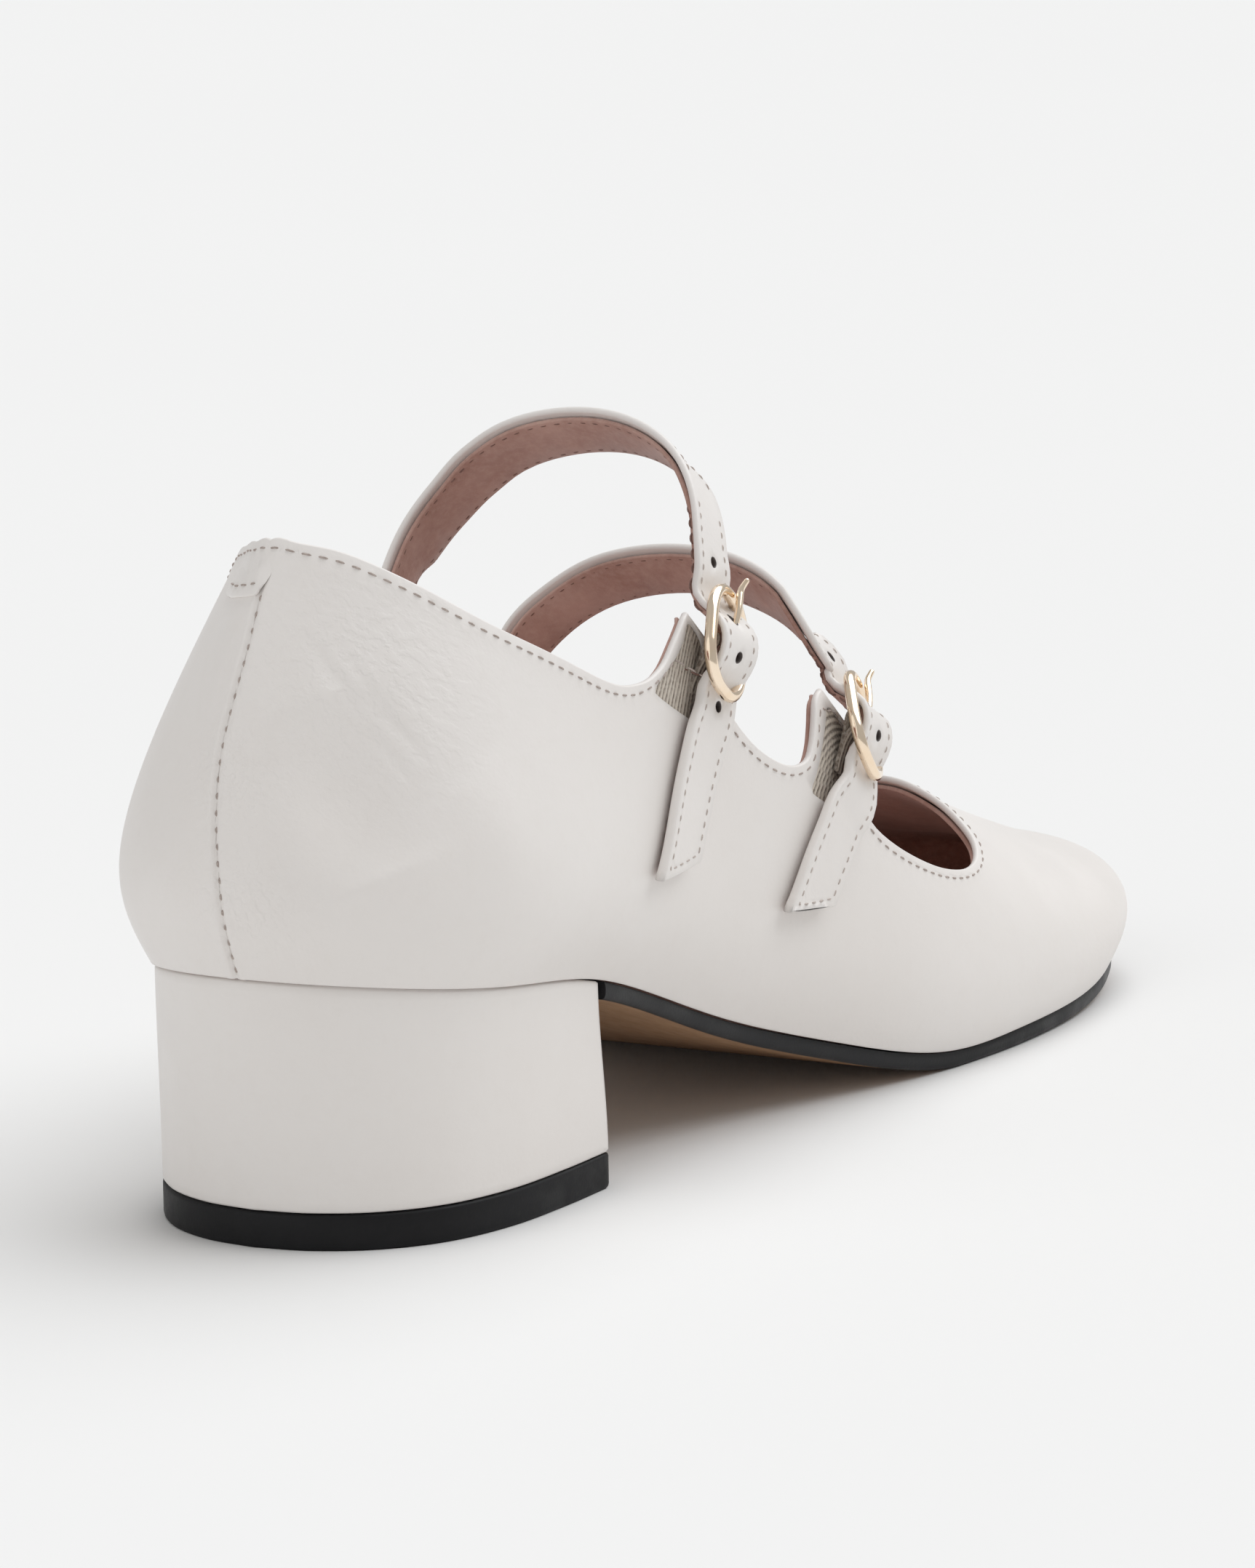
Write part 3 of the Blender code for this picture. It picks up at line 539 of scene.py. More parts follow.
@dataclass(frozen=True)
class Last:
    """Form that the upper is drawn over, as a net of controls with smooth sections."""

    stations: int = 16
    toe: int = 8
    ridge: float = 5.0
    plan_half: float = 50.0
    plan_reach: float = 1.53
    # Step of station and level over which directions are taken.
    probe: float = 0.02
    # Height of the feather edge above the floor along the shoe.
    sole_line: Rows = (
        (-36, 40.0), (0, 34.6), (26, 30.5), (60, 18.5), (90, 9.0), (116, 3.1), (136, 2.9), (166, 3.6),
        (212, 9.5),
    )
    # Feather edge from the back of the heel to the toe tip: outer x and y, inner x and y.
    feather: Rows = (
        (-31, 0, -31, 0), (-26, -16, -26, 16), (-6, -29.5, -7, 29.5), (28, -26, 28, 27),
        (68, -27, 68, 23), (108, -36.5, 112, 32.5), (151, -40.5, 155, 40), (194.5, -30.5, 196, 31),
        (213.5, 0, 213.5, 0),
    )
    # Sections over it: height, outward offset on the outer side and on the inner side, forward lean.
    wide: Rows = (
        (12, 6.5, 6.5, 0), (12, 7, 6, 0), (12, 9, 8.5, 0), (12, 7, 5, 0), (11, 5, 4, 0), (10, 4, 3, 0),
        (8, 4, 2.5, 0), (7, 4.5, 3, 0), (7, 4, 4, 0),
    )
    wall: Rows = (
        (36, 2, 2, 0), (36, -2, -5, 0), (36, 1, -0.5, 0), (34, 4, 5, 0), (30, 4, 8, 0), (24, 1, 5, 0),
        (18, -2, -1, 0), (13.7, -3, -2.7, 0.5), (10.8, -5.8, -5.8, 0),
    )
    shoulder: Rows = (
        (68, -12.5, -12.5, 0), (68, -11, -18, 3), (66, -11, -20, 0), (60, 2, 0, 2), (56, 3, 9, -6),
        (46, -4, 4, -11), (31, -15, -15, -12), (17.1, -15.6, -15.4, 2), (14, -20, -20, 0),
    )
    cone: Rows = (
        (88, -27, -27, 0), (88, -12.5, -23, 14), (90, -20, -30, 4), (90, -1, -5, 12), (83, -1, 6, -2),
        (70, -9.5, 2, -15), (40, -25, -26, -20), (26.3, -27, -29, -8), (22.6, -39, -39, 0),
    )
    # Ridge over the foot: x, y and height above the feather edge.
    crest: Rows = (
        (44, 0, 90), (45, 0, 92), (48, 0, 98), (56, 0, 102), (76, 0, 95), (98, 0, 78), (125, 1, 48.5),
        (141, 2, 38), (145, 3, 36),
    )

    def sole_height(self, x: Array) -> Array:
        """Height of the feather edge above the floor."""
        return natural_curve(self.sole_line, x)

    @cached_property
    def net(self) -> Array:
        """Control net, stations by rows; heights are above the feather edge."""
        table = np.array(self.feather, float)
        ring = join([table[:, :2], table[self.toe - 1 : 0 : -1, 2:]])
        order = [*range(self.toe + 1), *range(self.toe - 1, 0, -1)]
        outward = right_of(np.roll(ring, -1, 0) - np.roll(ring, 1, 0))
        rows = [np.c_[ring, np.zeros(self.stations)]]
        for section in (self.wide, self.wall, self.shoulder, self.cone):
            data = np.array(section, float)[order]
            offset = np.where(np.arange(self.stations) <= self.toe, data[:, 1], data[:, 2])
            place = ring + outward * offset[:, None]
            rows.append(np.c_[place[:, 0] + data[:, 3], place[:, 1], data[:, 0]])
        rows.append(np.array(self.crest, float)[order])
        return np.stack(rows, 1)

    @staticmethod
    def weights(share: Array) -> Array:
        """Cubic spline weights of four neighbouring controls."""
        u = np.asarray(share, float)
        rising = -3 * u**3 + 3 * u**2 + 3 * u + 1
        return np.stack([(1 - u) ** 3, 3 * u**3 - 6 * u**2 + 4, rising, u**3], -1) / 6

    def section(self, station: Array) -> Array:
        """Section controls between stations.

        Args:
            station: Places round the sole edge.

        Returns:
            Controls of one section for each place.
        """
        station = np.asarray(station, float) % self.stations
        first = np.floor(station).astype(int)
        weight = self.weights(station - first)
        near = [self.net[(first + k - 1) % self.stations] for k in range(4)]
        return sum(weight[:, k, None, None] * near[k] for k in range(4))

    def point(self, station: Array, level: Array) -> Array:
        """Points of the last's outside.

        Args:
            station: Places round the sole edge.
            level: Places up the section; past the ridge they continue down the other side.

        Returns:
            One point for each pair.
        """
        station = np.atleast_1d(np.asarray(station, float))
        level = np.atleast_1d(np.asarray(level, float))
        near = self.section(station)
        far = self.section((self.stations - station) % self.stations)
        top = near.shape[1] - 1
        full = join([near, far[:, top - 1 :: -1]], 1)
        full = join([2 * full[:, :1] - full[:, 1:2], full, 2 * full[:, -1:] - full[:, -2:-1]], 1)
        first = np.clip(np.floor(level).astype(int), 0, 2 * top - 1)
        weight = self.weights(level - first)
        index = np.arange(len(station))
        place = sum(weight[:, k, None] * full[index, first + k] for k in range(4))
        place[:, 2] += self.sole_height(place[:, 0])
        return place

    def normal(self, station: Array, level: Array) -> Array:
        """Outward directions of the last at pairs of station and level."""
        station = np.atleast_1d(np.asarray(station, float))
        level = np.atleast_1d(np.asarray(level, float))
        step = self.probe
        along = self.point(station + step, level) - self.point(station - step, level)
        up = self.point(station, level + step) - self.point(station, np.maximum(level - step, 0.0))
        return unit(np.cross(along, up))

    def to_plan(self, station: Array, level: Array) -> Array:
        """Flat picture of the last, in which the ridge is a slit and the feather edge an oval."""
        spread = (self.ridge - np.asarray(level, float)) / self.ridge * self.plan_reach
        turn = np.asarray(station, float) * 2 * math.pi / self.stations
        flat = (np.cosh(spread) * np.cos(turn), np.sinh(spread) * np.sin(turn))
        return self.plan_half * np.stack(flat, -1)

    def plan_line(self, rows: Rows, step: float, closed: bool = False) -> Array:
        """Curve of the flat picture through places given by station and level."""
        return smooth_line(self.to_plan(*np.array(rows, float).T), step, closed)

    def from_plan(self, flat: Array) -> tuple[Array, Array]:
        """Station and level of points of the flat picture.

        Args:
            flat: Points of the flat picture.

        Returns:
            Stations and levels.
        """
        place = np.arccosh((flat[:, 0] + 1j * flat[:, 1]) / self.plan_half)
        spread = np.abs(place.real)
        turn = np.where(place.real < 0, -place.imag, place.imag)
        turn = np.where(flat[:, 1] < 0, -np.abs(turn), np.abs(turn))
        station = (turn * self.stations / (2 * math.pi)) % self.stations
        return station, np.clip(self.ridge - spread / self.plan_reach * self.ridge, 0.0, self.ridge)

    def rim(self, count: int, inset: float) -> tuple[Array, Array]:
        """Feather edge in plan, moved inward.

        Args:
            count: Number of points.
            inset: Distance moved inward.

        Returns:
            Stations and plan points.
        """
        station = np.linspace(0, self.stations, count, endpoint=False)
        zero = np.zeros(count)
        place = self.point(station, zero)[:, :2]
        ahead, behind = (self.point(station + step, zero) for step in (self.probe, -self.probe))
        return station, place - right_of((ahead - behind)[:, :2]) * inset


@dataclass(frozen=True)
class Pattern:
    """Cut edge of the upper as station and level at each turn, all openings in one loop."""

    topline_outer: Rows = (
        (0.0, 2.835), (0.5, 2.83), (1.0, 2.80), (1.55, 2.70), (2.15, 2.52), (2.65, 2.38), (2.95, 2.33),
        (3.17, 2.41), (3.34, 2.57), (3.47, 2.79), (3.57, 2.98),
    )
    ear_gap: Rows = (
        (3.80, 2.86), (3.79, 2.70), (3.84, 2.56), (3.98, 2.46), (4.13, 2.43), (4.27, 2.46),
        (4.40, 2.56), (4.48, 2.70), (4.55, 2.87), (4.62, 3.05), (4.70, 3.17),
    )
    throat: Rows = (
        (5.00, 3.02), (4.93, 2.72), (4.79, 2.42), (4.95, 2.30), (5.32, 2.26), (5.58, 2.33),
        (5.83, 2.62), (6.10, 3.2), (6.40, 3.9), (6.95, 4.48), (8.0, 4.73), (9.05, 4.48), (9.6, 3.9),
        (9.9, 3.2), (10.2, 2.65), (10.5, 2.42), (10.75, 2.55), (10.84, 2.95),
    )
    front_strap_front: Rows = (
        (10.81, 3.45), (10.76, 4.0), (10.78, 4.6), (5.18, 4.8), (5.15, 4.4), (5.09, 4.0),
    )
    front_strap_back: Rows = (
        (4.83, 4.0), (4.89, 4.4), (4.94, 4.8), (11.01, 4.6), (10.97, 4.1), (11.01, 3.6),
    )
    strap_gap: Rows = (
        (11.06, 3.15), (11.12, 2.76), (11.28, 2.52), (11.5, 2.43), (11.69, 2.52), (11.79, 2.82),
    )
    rear_strap_front: Rows = (
        (11.74, 3.35), (11.60, 3.65), (11.55, 4.0), (11.60, 4.3), (11.69, 4.6), (4.22, 4.8),
        (4.16, 4.4), (4.09, 4.0),
    )
    rear_strap_back: Rows = (
        (3.81, 4.0), (3.87, 4.4), (3.90, 4.8), (12.04, 4.6), (11.95, 4.25), (11.88, 3.95), (11.92, 3.6),
    )
    topline_inner: Rows = (
        (12.03, 3.2), (12.2, 2.90), (12.45, 2.66), (12.75, 2.50), (13.1, 2.46), (13.45, 2.53),
        (13.95, 2.66), (14.4, 2.78), (14.9, 2.80), (15.5, 2.82), (16.0, 2.835),
    )

    def loop(self, last: Last, step: float, strips: int) -> tuple[Array, dict[Strap, list[int]]]:
        """Cut edge in the flat picture.

        Args:
            last: The last.
            step: Distance between points.
            strips: Number of strips across a strap where its ribbon starts.

        Returns:
            The closed loop, and the index of each strap's mouth in it.
        """
        runs = (
            (self.topline_outer, None),
            (self.ear_gap, None),
            (self.throat + self.front_strap_front, Strap.FRONT),
            (self.front_strap_back + self.strap_gap + self.rear_strap_front, Strap.REAR),
            (self.rear_strap_back + self.topline_inner, None),
        )
        ends = {
            Strap.FRONT: (self.front_strap_front[-1], self.front_strap_back[0]),
            Strap.REAR: (self.rear_strap_front[-1], self.rear_strap_back[0]),
        }
        made: list[Array] = []
        mouths: dict[Strap, list[int]] = {}
        for rows, mouth in runs:
            line = last.plan_line(rows, step)
            made.extend(line[1:] if rows is self.topline_outer else line)
            if mouth is None:
                continue
            start, end = (last.to_plan(*pair) for pair in ends[mouth])
            first = len(made) - 1
            made.extend(start + (end - start) * k / strips for k in range(1, strips))
            mouths[mouth] = list(range(first, first + strips + 1))
        return np.array(made), mouths


@dataclass(frozen=True)
class StrapPath:
    """How one strap's free end runs down the outer side, through its buckle."""

    strap: Strap
    line: Rows
    bar_level: float
    straight_half: float = 7.5
    straight_fade: float = 8.0
    # Stand-off of the outer face by distance along the strap from the buckle's middle bar.
    weave: Rows = (
        (-40.0, 0.0), (-10.5, 0.0), (-8.4, -0.4), (-6.6, -0.3), (-5.2, 1.2), (-3.6, 3.5), (-1.8, 5.0),
        (0.2, 5.4), (2.2, 5.1), (4.0, 4.2), (5.6, 3.0), (7.2, 2.2), (9.0, 2.2), (15.0, 2.4),
        (22.0, 2.3), (60.0, 2.1),
    )
    weave_round: float = 1.6
    weave_step: float = 0.1
    samples: int = 700

    def run(self, last: Last) -> tuple[Array, Array, Array]:
        """Middle line with its normals and distances, straight and flat in the buckle.

        Args:
            last: The last that the strap follows.

        Returns:
            Points, normals, and distances from the middle bar.
        """
        line = smooth_line(self.line, 0.02)
        point = last.point(line[:, 0], line[:, 1])
        normal = last.normal(line[:, 0], line[:, 1])
        travel = travel_of(point)
        travel -= np.interp(-self.bar_level, -line[:, 1], travel)
        ends = np.array([-self.straight_half, 0.0, self.straight_half])
        place, up, _ = self.frame((point, normal, travel), ends)
        chord = unit(place[2] - place[0])
        flat = unit(up[1] - (up[1] @ chord) * chord)
        sag = (place[0] + place[2]) / 2 - place[1]
        sag -= (sag @ flat) * flat + (sag @ chord) * chord
        straight = place[1] + sag / 2 + chord * travel[:, None]
        beyond = self.straight_half + self.straight_fade - np.abs(travel)
        share = ease(beyond / self.straight_fade)[:, None]
        return point * (1 - share) + straight * share, unit(normal * (1 - share) + flat * share), travel

    @staticmethod
    def frame(run: tuple[Array, Array, Array], where: Array) -> tuple[Array, Array, Array]:
        """Places along a run.

        Args:
            run: Points, normals and distances that run gives.
            where: Distances from the middle bar.

        Returns:
            Points, outward directions and onward directions.
        """
        point, normal, travel = run
        reach = 0.6
        place = at_travel(point, where, travel)
        up = at_travel(normal, where, travel)
        along = unit(at_travel(point, where + reach, travel) - at_travel(point, where - reach, travel))
        return place, unit(up - (up * along).sum(-1, keepdims=True) * along), along

    @staticmethod
    def toeward(up: Array, along: Array) -> Array:
        """Direction across the strap, turned to look toward the toe."""
        across = np.cross(up, along)
        return np.where(across[..., :1] > 0, across, -across)

    @cached_property
    def stand(self) -> Rows:
        """The weave table, finely sampled and gently rounded."""
        at = np.arange(self.weave[0][0], self.weave[-1][0] + self.weave_step, self.weave_step)
        raw = np.interp(at, *np.array(self.weave).T)
        half = int(self.weave_round / self.weave_step)
        window = np.hanning(2 * half + 1)
        padded = join([np.full(half, raw[0]), raw, np.full(half, raw[-1])])
        return tuple(zip(at, np.convolve(padded, window / window.sum(), "valid")))

    def spread(self, last: Last, where: Array, aside: Array) -> tuple[Array, Array]:
        """Points of the strap's outer face.

        Args:
            last: The last.
            where: Distances from the middle bar.
            aside: Distances from the middle line, positive to the front.

        Returns:
            Points and outward normals.
        """
        run = self.run(last)
        at = np.linspace(run[2][0], run[2][-1], self.samples)
        place, up, along = self.frame(run, at)
        across = self.toeward(up, along)
        middle = place + up * np.interp(at, *zip(*self.stand))[:, None]
        slope = unit(np.gradient(middle, axis=0))
        face = np.cross(slope, across)
        face = unit(np.where((face * up).sum(1)[:, None] > 0, face, -face))
        points = at_travel(middle, where, at) + at_travel(across, where, at) * aside[:, None]
        return points, unit(at_travel(face, where, at))


# --- finishes ---


class NodeBench:
    """Small helper that wires one procedural material."""

    def __init__(self, name: str) -> None:
        """Start a material with an empty shader."""
        self.material = bpy.data.materials.new(name)
        self.material.use_nodes = True
        self.tree = self.material.node_tree
        self.shader = self.tree.nodes["Principled BSDF"]
        self.place = self.tree.nodes.new("ShaderNodeTexCoord").outputs["Object"]

    def set(self, **values: float) -> None:
        """Set constants on the shader's own sockets."""
        for name, value in values.items():
            self.shader.inputs[name.replace("_", " ")].default_value = value

    def node(self, kind: str, inputs: dict | None = None, **settings: str) -> bpy.types.Node:
        """Add a node.

        Args:
            kind: Node type without its prefix.
            inputs: Values or sockets for its inputs.
            settings: Properties of the node.

        Returns:
            The new node.
        """
        made = self.tree.nodes.new("ShaderNode" + kind)
        for name, value in settings.items():
            setattr(made, name, value)
        for name, value in (inputs or {}).items():
            if isinstance(value, Socket):
                self.tree.links.new(value, made.inputs[name])
            else:
                made.inputs[name].default_value = value
        return made

    def noise(
        self,
        scale: float,
        detail: float = 3.0,
        rough: float = 0.5,
        at: Socket | None = None,
    ) -> Socket:
        """Noise of a scale per metre."""
        source = {"Vector": at or self.place, "Scale": scale, "Detail": detail, "Roughness": rough}
        return self.node("TexNoise", source).outputs["Fac"]

    def cells(self, scale: float) -> Socket:
        """Distance inside small cells."""
        return self.node("TexVoronoi", {"Vector": self.place, "Scale": scale}).outputs["Distance"]

    def mark(self, name: str) -> Socket:
        """A mesh mark."""
        return self.node("Attribute", attribute_name=name).outputs["Fac"]

    def times(self, *values: Socket | float) -> Socket:
        """Product of two numbers or sockets."""
        return self.node("Math", dict(enumerate(values)), operation="MULTIPLY").outputs[0]

    def span(self, value: Socket, low: float, high: float, start: float, end: float) -> Socket:
        """Value mapped smoothly from one span to another."""
        inputs = {"Value": value, "From Min": low, "From Max": high, "To Min": start, "To Max": end}
        return self.node("MapRange", inputs, interpolation_type="SMOOTHSTEP").outputs["Result"]

    def blend(self, share: Socket, first: Socket | Tone, second: Tone) -> Socket:
        """Mix of two colours.

        Args:
            share: How much of the second.
            first: First colour.
            second: Second colour.

        Returns:
            The mixed colour.
        """
        made = self.node("Mix", data_type="RGBA")
        for name, value in (("Factor_Float", share), ("A_Color", first), ("B_Color", second)):
            socket = next(s for s in made.inputs if s.identifier == name)
            if isinstance(value, Socket):
                self.tree.links.new(value, socket)
            else:
                socket.default_value = value
        return next(s for s in made.outputs if s.identifier == "Result_Color")

    def colour(self, socket: Socket) -> None:
        """Use a socket as the colour."""
        self.tree.links.new(socket, self.shader.inputs["Base Color"])

    def roughness(self, socket: Socket) -> None:
        """Use a socket as the roughness."""
        self.tree.links.new(socket, self.shader.inputs["Roughness"])

    def bump(self, layers: list[tuple[Socket, float, float]]) -> None:
        """Stack bumps.

        Args:
            layers: Height, strength and depth in metres of each bump.
        """
        below = None
        for height, strength, depth in layers:
            inputs = {"Height": height, "Strength": strength, "Distance": depth}
            if below is not None:
                inputs["Normal"] = below
            below = self.node("Bump", inputs).outputs["Normal"]
        self.tree.links.new(below, self.shader.inputs["Normal"])


def tone(red: float, green: float, blue: float) -> Tone:
    """Opaque colour."""
    return red, green, blue, 1.0


@dataclass(frozen=True)
class Finish:
    """A material of the shoe or its floor."""

    name: str

    def dress(self, bench: NodeBench) -> None:
        """Wire the material."""
        raise NotImplementedError

    def make(self) -> Material:
        """Build the material."""
        bench = NodeBench(self.name)
        self.dress(bench)
        return bench.material


@dataclass(frozen=True)
class SmoothLeather(Finish):
    """Cream calf leather with fine pores, soft mottling, darker seams and painted shade in the punched
    holes.
    """

    name: str = "cream_leather"
    colour: Tone = tone(0.825, 0.79, 0.762)
    shade: Tone = tone(0.76, 0.71, 0.67)
    seam: Tone = tone(0.30, 0.25, 0.22)
    # Near-black painted shade for the walls and rims of the punched holes.
    hole: Tone = tone(0.05, 0.035, 0.03)
    pore_scale: float = 1500.0
    grain_scale: float = 420.0
    mottle_scale: float = 16.0
    swell_scale: float = 55.0
    sheen_scale: float = 90.0
    fold_scale: float = 760.0
    # How much longer than wide the fine wrinkles are.
    fold_stretch: float = 7.0
    # Direction in degrees under the level, along the shoe, of the fine wrinkles.
    fold_turn: float = 38.0
    marked: bool = True

    def dress(self, bench: NodeBench) -> None:
        """Wire the material."""
        mottle = bench.noise(self.mottle_scale, 4.0, 0.55)
        fine = bench.noise(self.grain_scale, 4.0, 0.6)
        base = bench.blend(bench.span(mottle, 0.35, 0.7, 0.0, 0.35), self.colour, self.shade)
        base = bench.blend(bench.span(fine, 0.45, 0.75, 0.0, 0.12), base, self.shade)
        pores = bench.cells(self.pore_scale)
        layers = [
            (bench.noise(self.swell_scale), 0.16, 0.0012),
            (fine, 0.22, 0.00018),
            (pores, 0.16, 0.00009),
        ]
        if self.marked:
            seam = bench.span(bench.mark("seam"), 0.04, 0.20, 1.0, 0.0)
            base = bench.blend(bench.times(seam, 0.6), base, self.seam)
            row = bench.mark("row")
            layers.append((bench.span(row, 0.0, 0.7, 0.0, 1.0), 0.5, 0.0002))
            base = bench.blend(bench.span(row, 0.0, 0.4, 0.10, 0.0), base, self.seam)
            # Painted shade: the walls and rims of the punched holes are coloured near black.
            base = bench.blend(bench.span(bench.mark("punch"), 0.02, 0.12, 0.94, 0.0), base, self.hole)
            turned = {
                "Vector": bench.place,
                "Rotation": (0.0, math.radians(self.fold_turn), 0.0),
                "Scale": (self.fold_stretch, 1.0, 1.0),
            }
            along = bench.node("Mapping", turned, vector_type="TEXTURE").outputs[0]
            streak = bench.span(bench.noise(self.fold_scale, at=along), 0.40, 0.62, 0.0, 1.0)
            layers.append((bench.times(streak, bench.mark("fold")), 0.36, 0.00028))
        bench.colour(base)
        bench.roughness(bench.span(bench.noise(self.sheen_scale), 0.3, 0.75, 0.40, 0.52))
        bench.set(Coat_Weight=0.22, Coat_Roughness=0.38, Specular_IOR_Level=0.5)
        bench.bump(layers)


@dataclass(frozen=True)
class SuedeLining(Finish):
    """Rosy-brown lining leather with a short nap."""

    name: str = "rose_lining"
    colour: Tone = tone(0.42, 0.24, 0.195)
    light: Tone = tone(0.55, 0.35, 0.295)
    nap_tip: Tone = tone(0.66, 0.47, 0.41)
    drift_scale: float = 70.0
    nap_scale: float = 900.0

    def dress(self, bench: NodeBench) -> None:
        """Wire the material."""
        drift = bench.noise(self.drift_scale, 4.0, 0.6)
        nap = bench.noise(self.nap_scale, 3.0, 0.7)
        base = bench.blend(bench.span(drift, 0.3, 0.7, 0.0, 1.0), self.colour, self.light)
        base = bench.blend(bench.span(nap, 0.35, 0.75, 0.0, 0.35), base, self.nap_tip)
        bench.colour(base)
        bench.roughness(bench.span(nap, 0.2, 0.8, 0.72, 0.92))
        bench.set(Sheen_Weight=0.35, Sheen_Roughness=0.5, Specular_IOR_Level=0.25)
        bench.bump([(drift, 0.25, 0.0008), (nap, 0.5, 0.00016)])


@dataclass(frozen=True)
class Rubber(Finish):
    """Black rubber or painted sole edge with faint scuffs."""

    name: str = "black_rubber"
    colour: Tone = tone(0.004, 0.004, 0.005)
    dust: Tone = tone(0.012, 0.012, 0.014)
    rough: float = 0.5
    scuff_scale: float = 130.0
    grit_scale: float = 2200.0

    def dress(self, bench: NodeBench) -> None:
        """Wire the material."""
        scuff = bench.noise(self.scuff_scale, 5.0, 0.65)
        grit = bench.noise(self.grit_scale, 2.0, 0.6)
        bench.colour(bench.blend(bench.span(scuff, 0.45, 0.75, 0.0, 0.7), self.colour, self.dust))
        bench.roughness(bench.span(scuff, 0.3, 0.7, self.rough - 0.08, self.rough + 0.12))
        bench.set(Specular_IOR_Level=0.25)
        bench.bump([(grit, 0.25, 0.00008), (scuff, 0.12, 0.0003)])


@dataclass(frozen=True)
class TanSole(Finish):
    """Tan sole leather of the underside, brushed along the shoe."""

    name: str = "tan_underside"
    colour: Tone = tone(0.36, 0.205, 0.105)
    dark: Tone = tone(0.25, 0.135, 0.07)
    fibre_scale: float = 420.0
    cloud_scale: float = 30.0
    # Share to which the fibres are drawn out along the shoe.
    brushing: float = 0.18

    def dress(self, bench: NodeBench) -> None:
        """Wire the material."""
        brushed = {"Vector": bench.place, "Scale": (self.brushing, 1.0, 1.0)}
        fibre = bench.noise(self.fibre_scale, 4.0, 0.6, bench.node("Mapping", brushed).outputs[0])
        cloud = bench.noise(self.cloud_scale, 4.0, 0.6)
        base = bench.blend(bench.span(fibre, 0.3, 0.7, 0.0, 0.45), self.colour, self.dark)
        bench.colour(bench.blend(bench.span(cloud, 0.4, 0.75, 0.0, 0.35), base, self.dark))
        bench.roughness(bench.span(fibre, 0.3, 0.7, 0.5, 0.62))
        bench.bump([(fibre, 0.2, 0.00012)])


@dataclass(frozen=True)
class PaleGold(Finish):
    """Polished pale gold plating with hairline polishing marks."""

    name: str = "pale_gold"
    colour: Tone = tone(0.98, 0.83, 0.66)
    shade: Tone = tone(0.93, 0.73, 0.52)
    cloud_scale: float = 260.0
    hair_scale: float = 3200.0

    def dress(self, bench: NodeBench) -> None:
        """Wire the material."""
        cloud = bench.noise(self.cloud_scale)
        hair = bench.noise(self.hair_scale, 2.0)
        bench.colour(bench.blend(bench.span(cloud, 0.35, 0.7, 0.0, 0.6), self.colour, self.shade))
        bench.roughness(bench.span(cloud, 0.3, 0.7, 0.10, 0.17))
        bench.set(Metallic=1.0)
        bench.bump([(hair, 0.05, 0.00003)])


@dataclass(frozen=True)
class RibbedElastic(Finish):
    """Olive-beige elastic whose ribs are read from a mesh mark, with painted shade in the valleys between
    the ribs.
    """

    name: str = "olive_elastic"
    colour: Tone = tone(0.62, 0.55, 0.47)
    # Dark painted shade for the valleys between the ribs.
    deep: Tone = tone(0.16, 0.125, 0.10)
    yarn: Tone = tone(0.74, 0.68, 0.60)
    yarn_scale: float = 1800.0

    def dress(self, bench: NodeBench) -> None:
        """Wire the material."""
        rib = bench.mark("rib")
        yarn = bench.noise(self.yarn_scale, 3.0, 0.6)
        # Painted shade: the colour darkens toward the dark valley tone where the rib mark is low.
        base = bench.blend(bench.span(rib, 0.15, 0.75, 1.0, 0.0), self.colour, self.deep)
        bench.colour(bench.blend(bench.span(yarn, 0.35, 0.7, 0.0, 0.4), base, self.yarn))
        bench.roughness(bench.span(yarn, 0.2, 0.8, 0.75, 0.9))
        bench.set(Sheen_Weight=0.2, Specular_IOR_Level=0.2)
        bench.bump([(yarn, 0.5, 0.00012)])


@dataclass(frozen=True)
class Thread(Finish):
    """Waxed sewing thread, twisted."""

    name: str = "taupe_thread"
    colour: Tone = tone(0.34, 0.28, 0.25)
    light: Tone = tone(0.50, 0.43, 0.39)
    twist_scale: float = 3500.0

    def dress(self, bench: NodeBench) -> None:
        """Wire the material."""
        twist = bench.noise(self.twist_scale, 2.0)
        bench.colour(bench.blend(bench.span(twist, 0.3, 0.7, 0.0, 1.0), self.colour, self.light))
        bench.roughness(bench.span(twist, 0.3, 0.7, 0.55, 0.75))
        bench.bump([(twist, 0.4, 0.00006)])


@dataclass(frozen=True)
class StudioPaper(Finish):
    """Matt pale paper of the floor."""

    name: str = "studio_paper"
    colour: Tone = tone(0.85, 0.845, 0.838)
    shade: Tone = tone(0.84, 0.835, 0.828)
    drift_scale: float = 3.0
    tooth_scale: float = 400.0

    def dress(self, bench: NodeBench) -> None:
        """Wire the material."""
        bench.colour(bench.blend(bench.noise(self.drift_scale, 2.0), self.colour, self.shade))
        bench.roughness(bench.span(bench.noise(self.tooth_scale, 2.0), 0.3, 0.7, 0.85, 0.95))
        bench.set(Specular_IOR_Level=0.1)


@dataclass(frozen=True)
class Finishes:
    """Every material of the shoe, made once."""

    leather: Material
    plain_leather: Material
    lining: Material
    rubber: Material
    edge_paint: Material
    tan: Material
    gold: Material
    elastic: Material
    thread: Material
    lining_thread: Material
    strap_thread: Material

    @classmethod
    def make(cls) -> "Finishes":
        """Build them all."""
        return cls(
            SmoothLeather().make(),
            SmoothLeather(name="cream_leather_plain", marked=False).make(),
            SuedeLining().make(),
            Rubber().make(),
            Rubber(name="black_edge_paint", rough=0.36).make(),
            TanSole().make(),
            PaleGold().make(),
            RibbedElastic().make(),
            Thread().make(),
            Thread("brown_thread", tone(0.20, 0.115, 0.095), tone(0.30, 0.18, 0.15)).make(),
            Thread("stone_thread", tone(0.44, 0.38, 0.34), tone(0.60, 0.53, 0.49)).make(),
        )


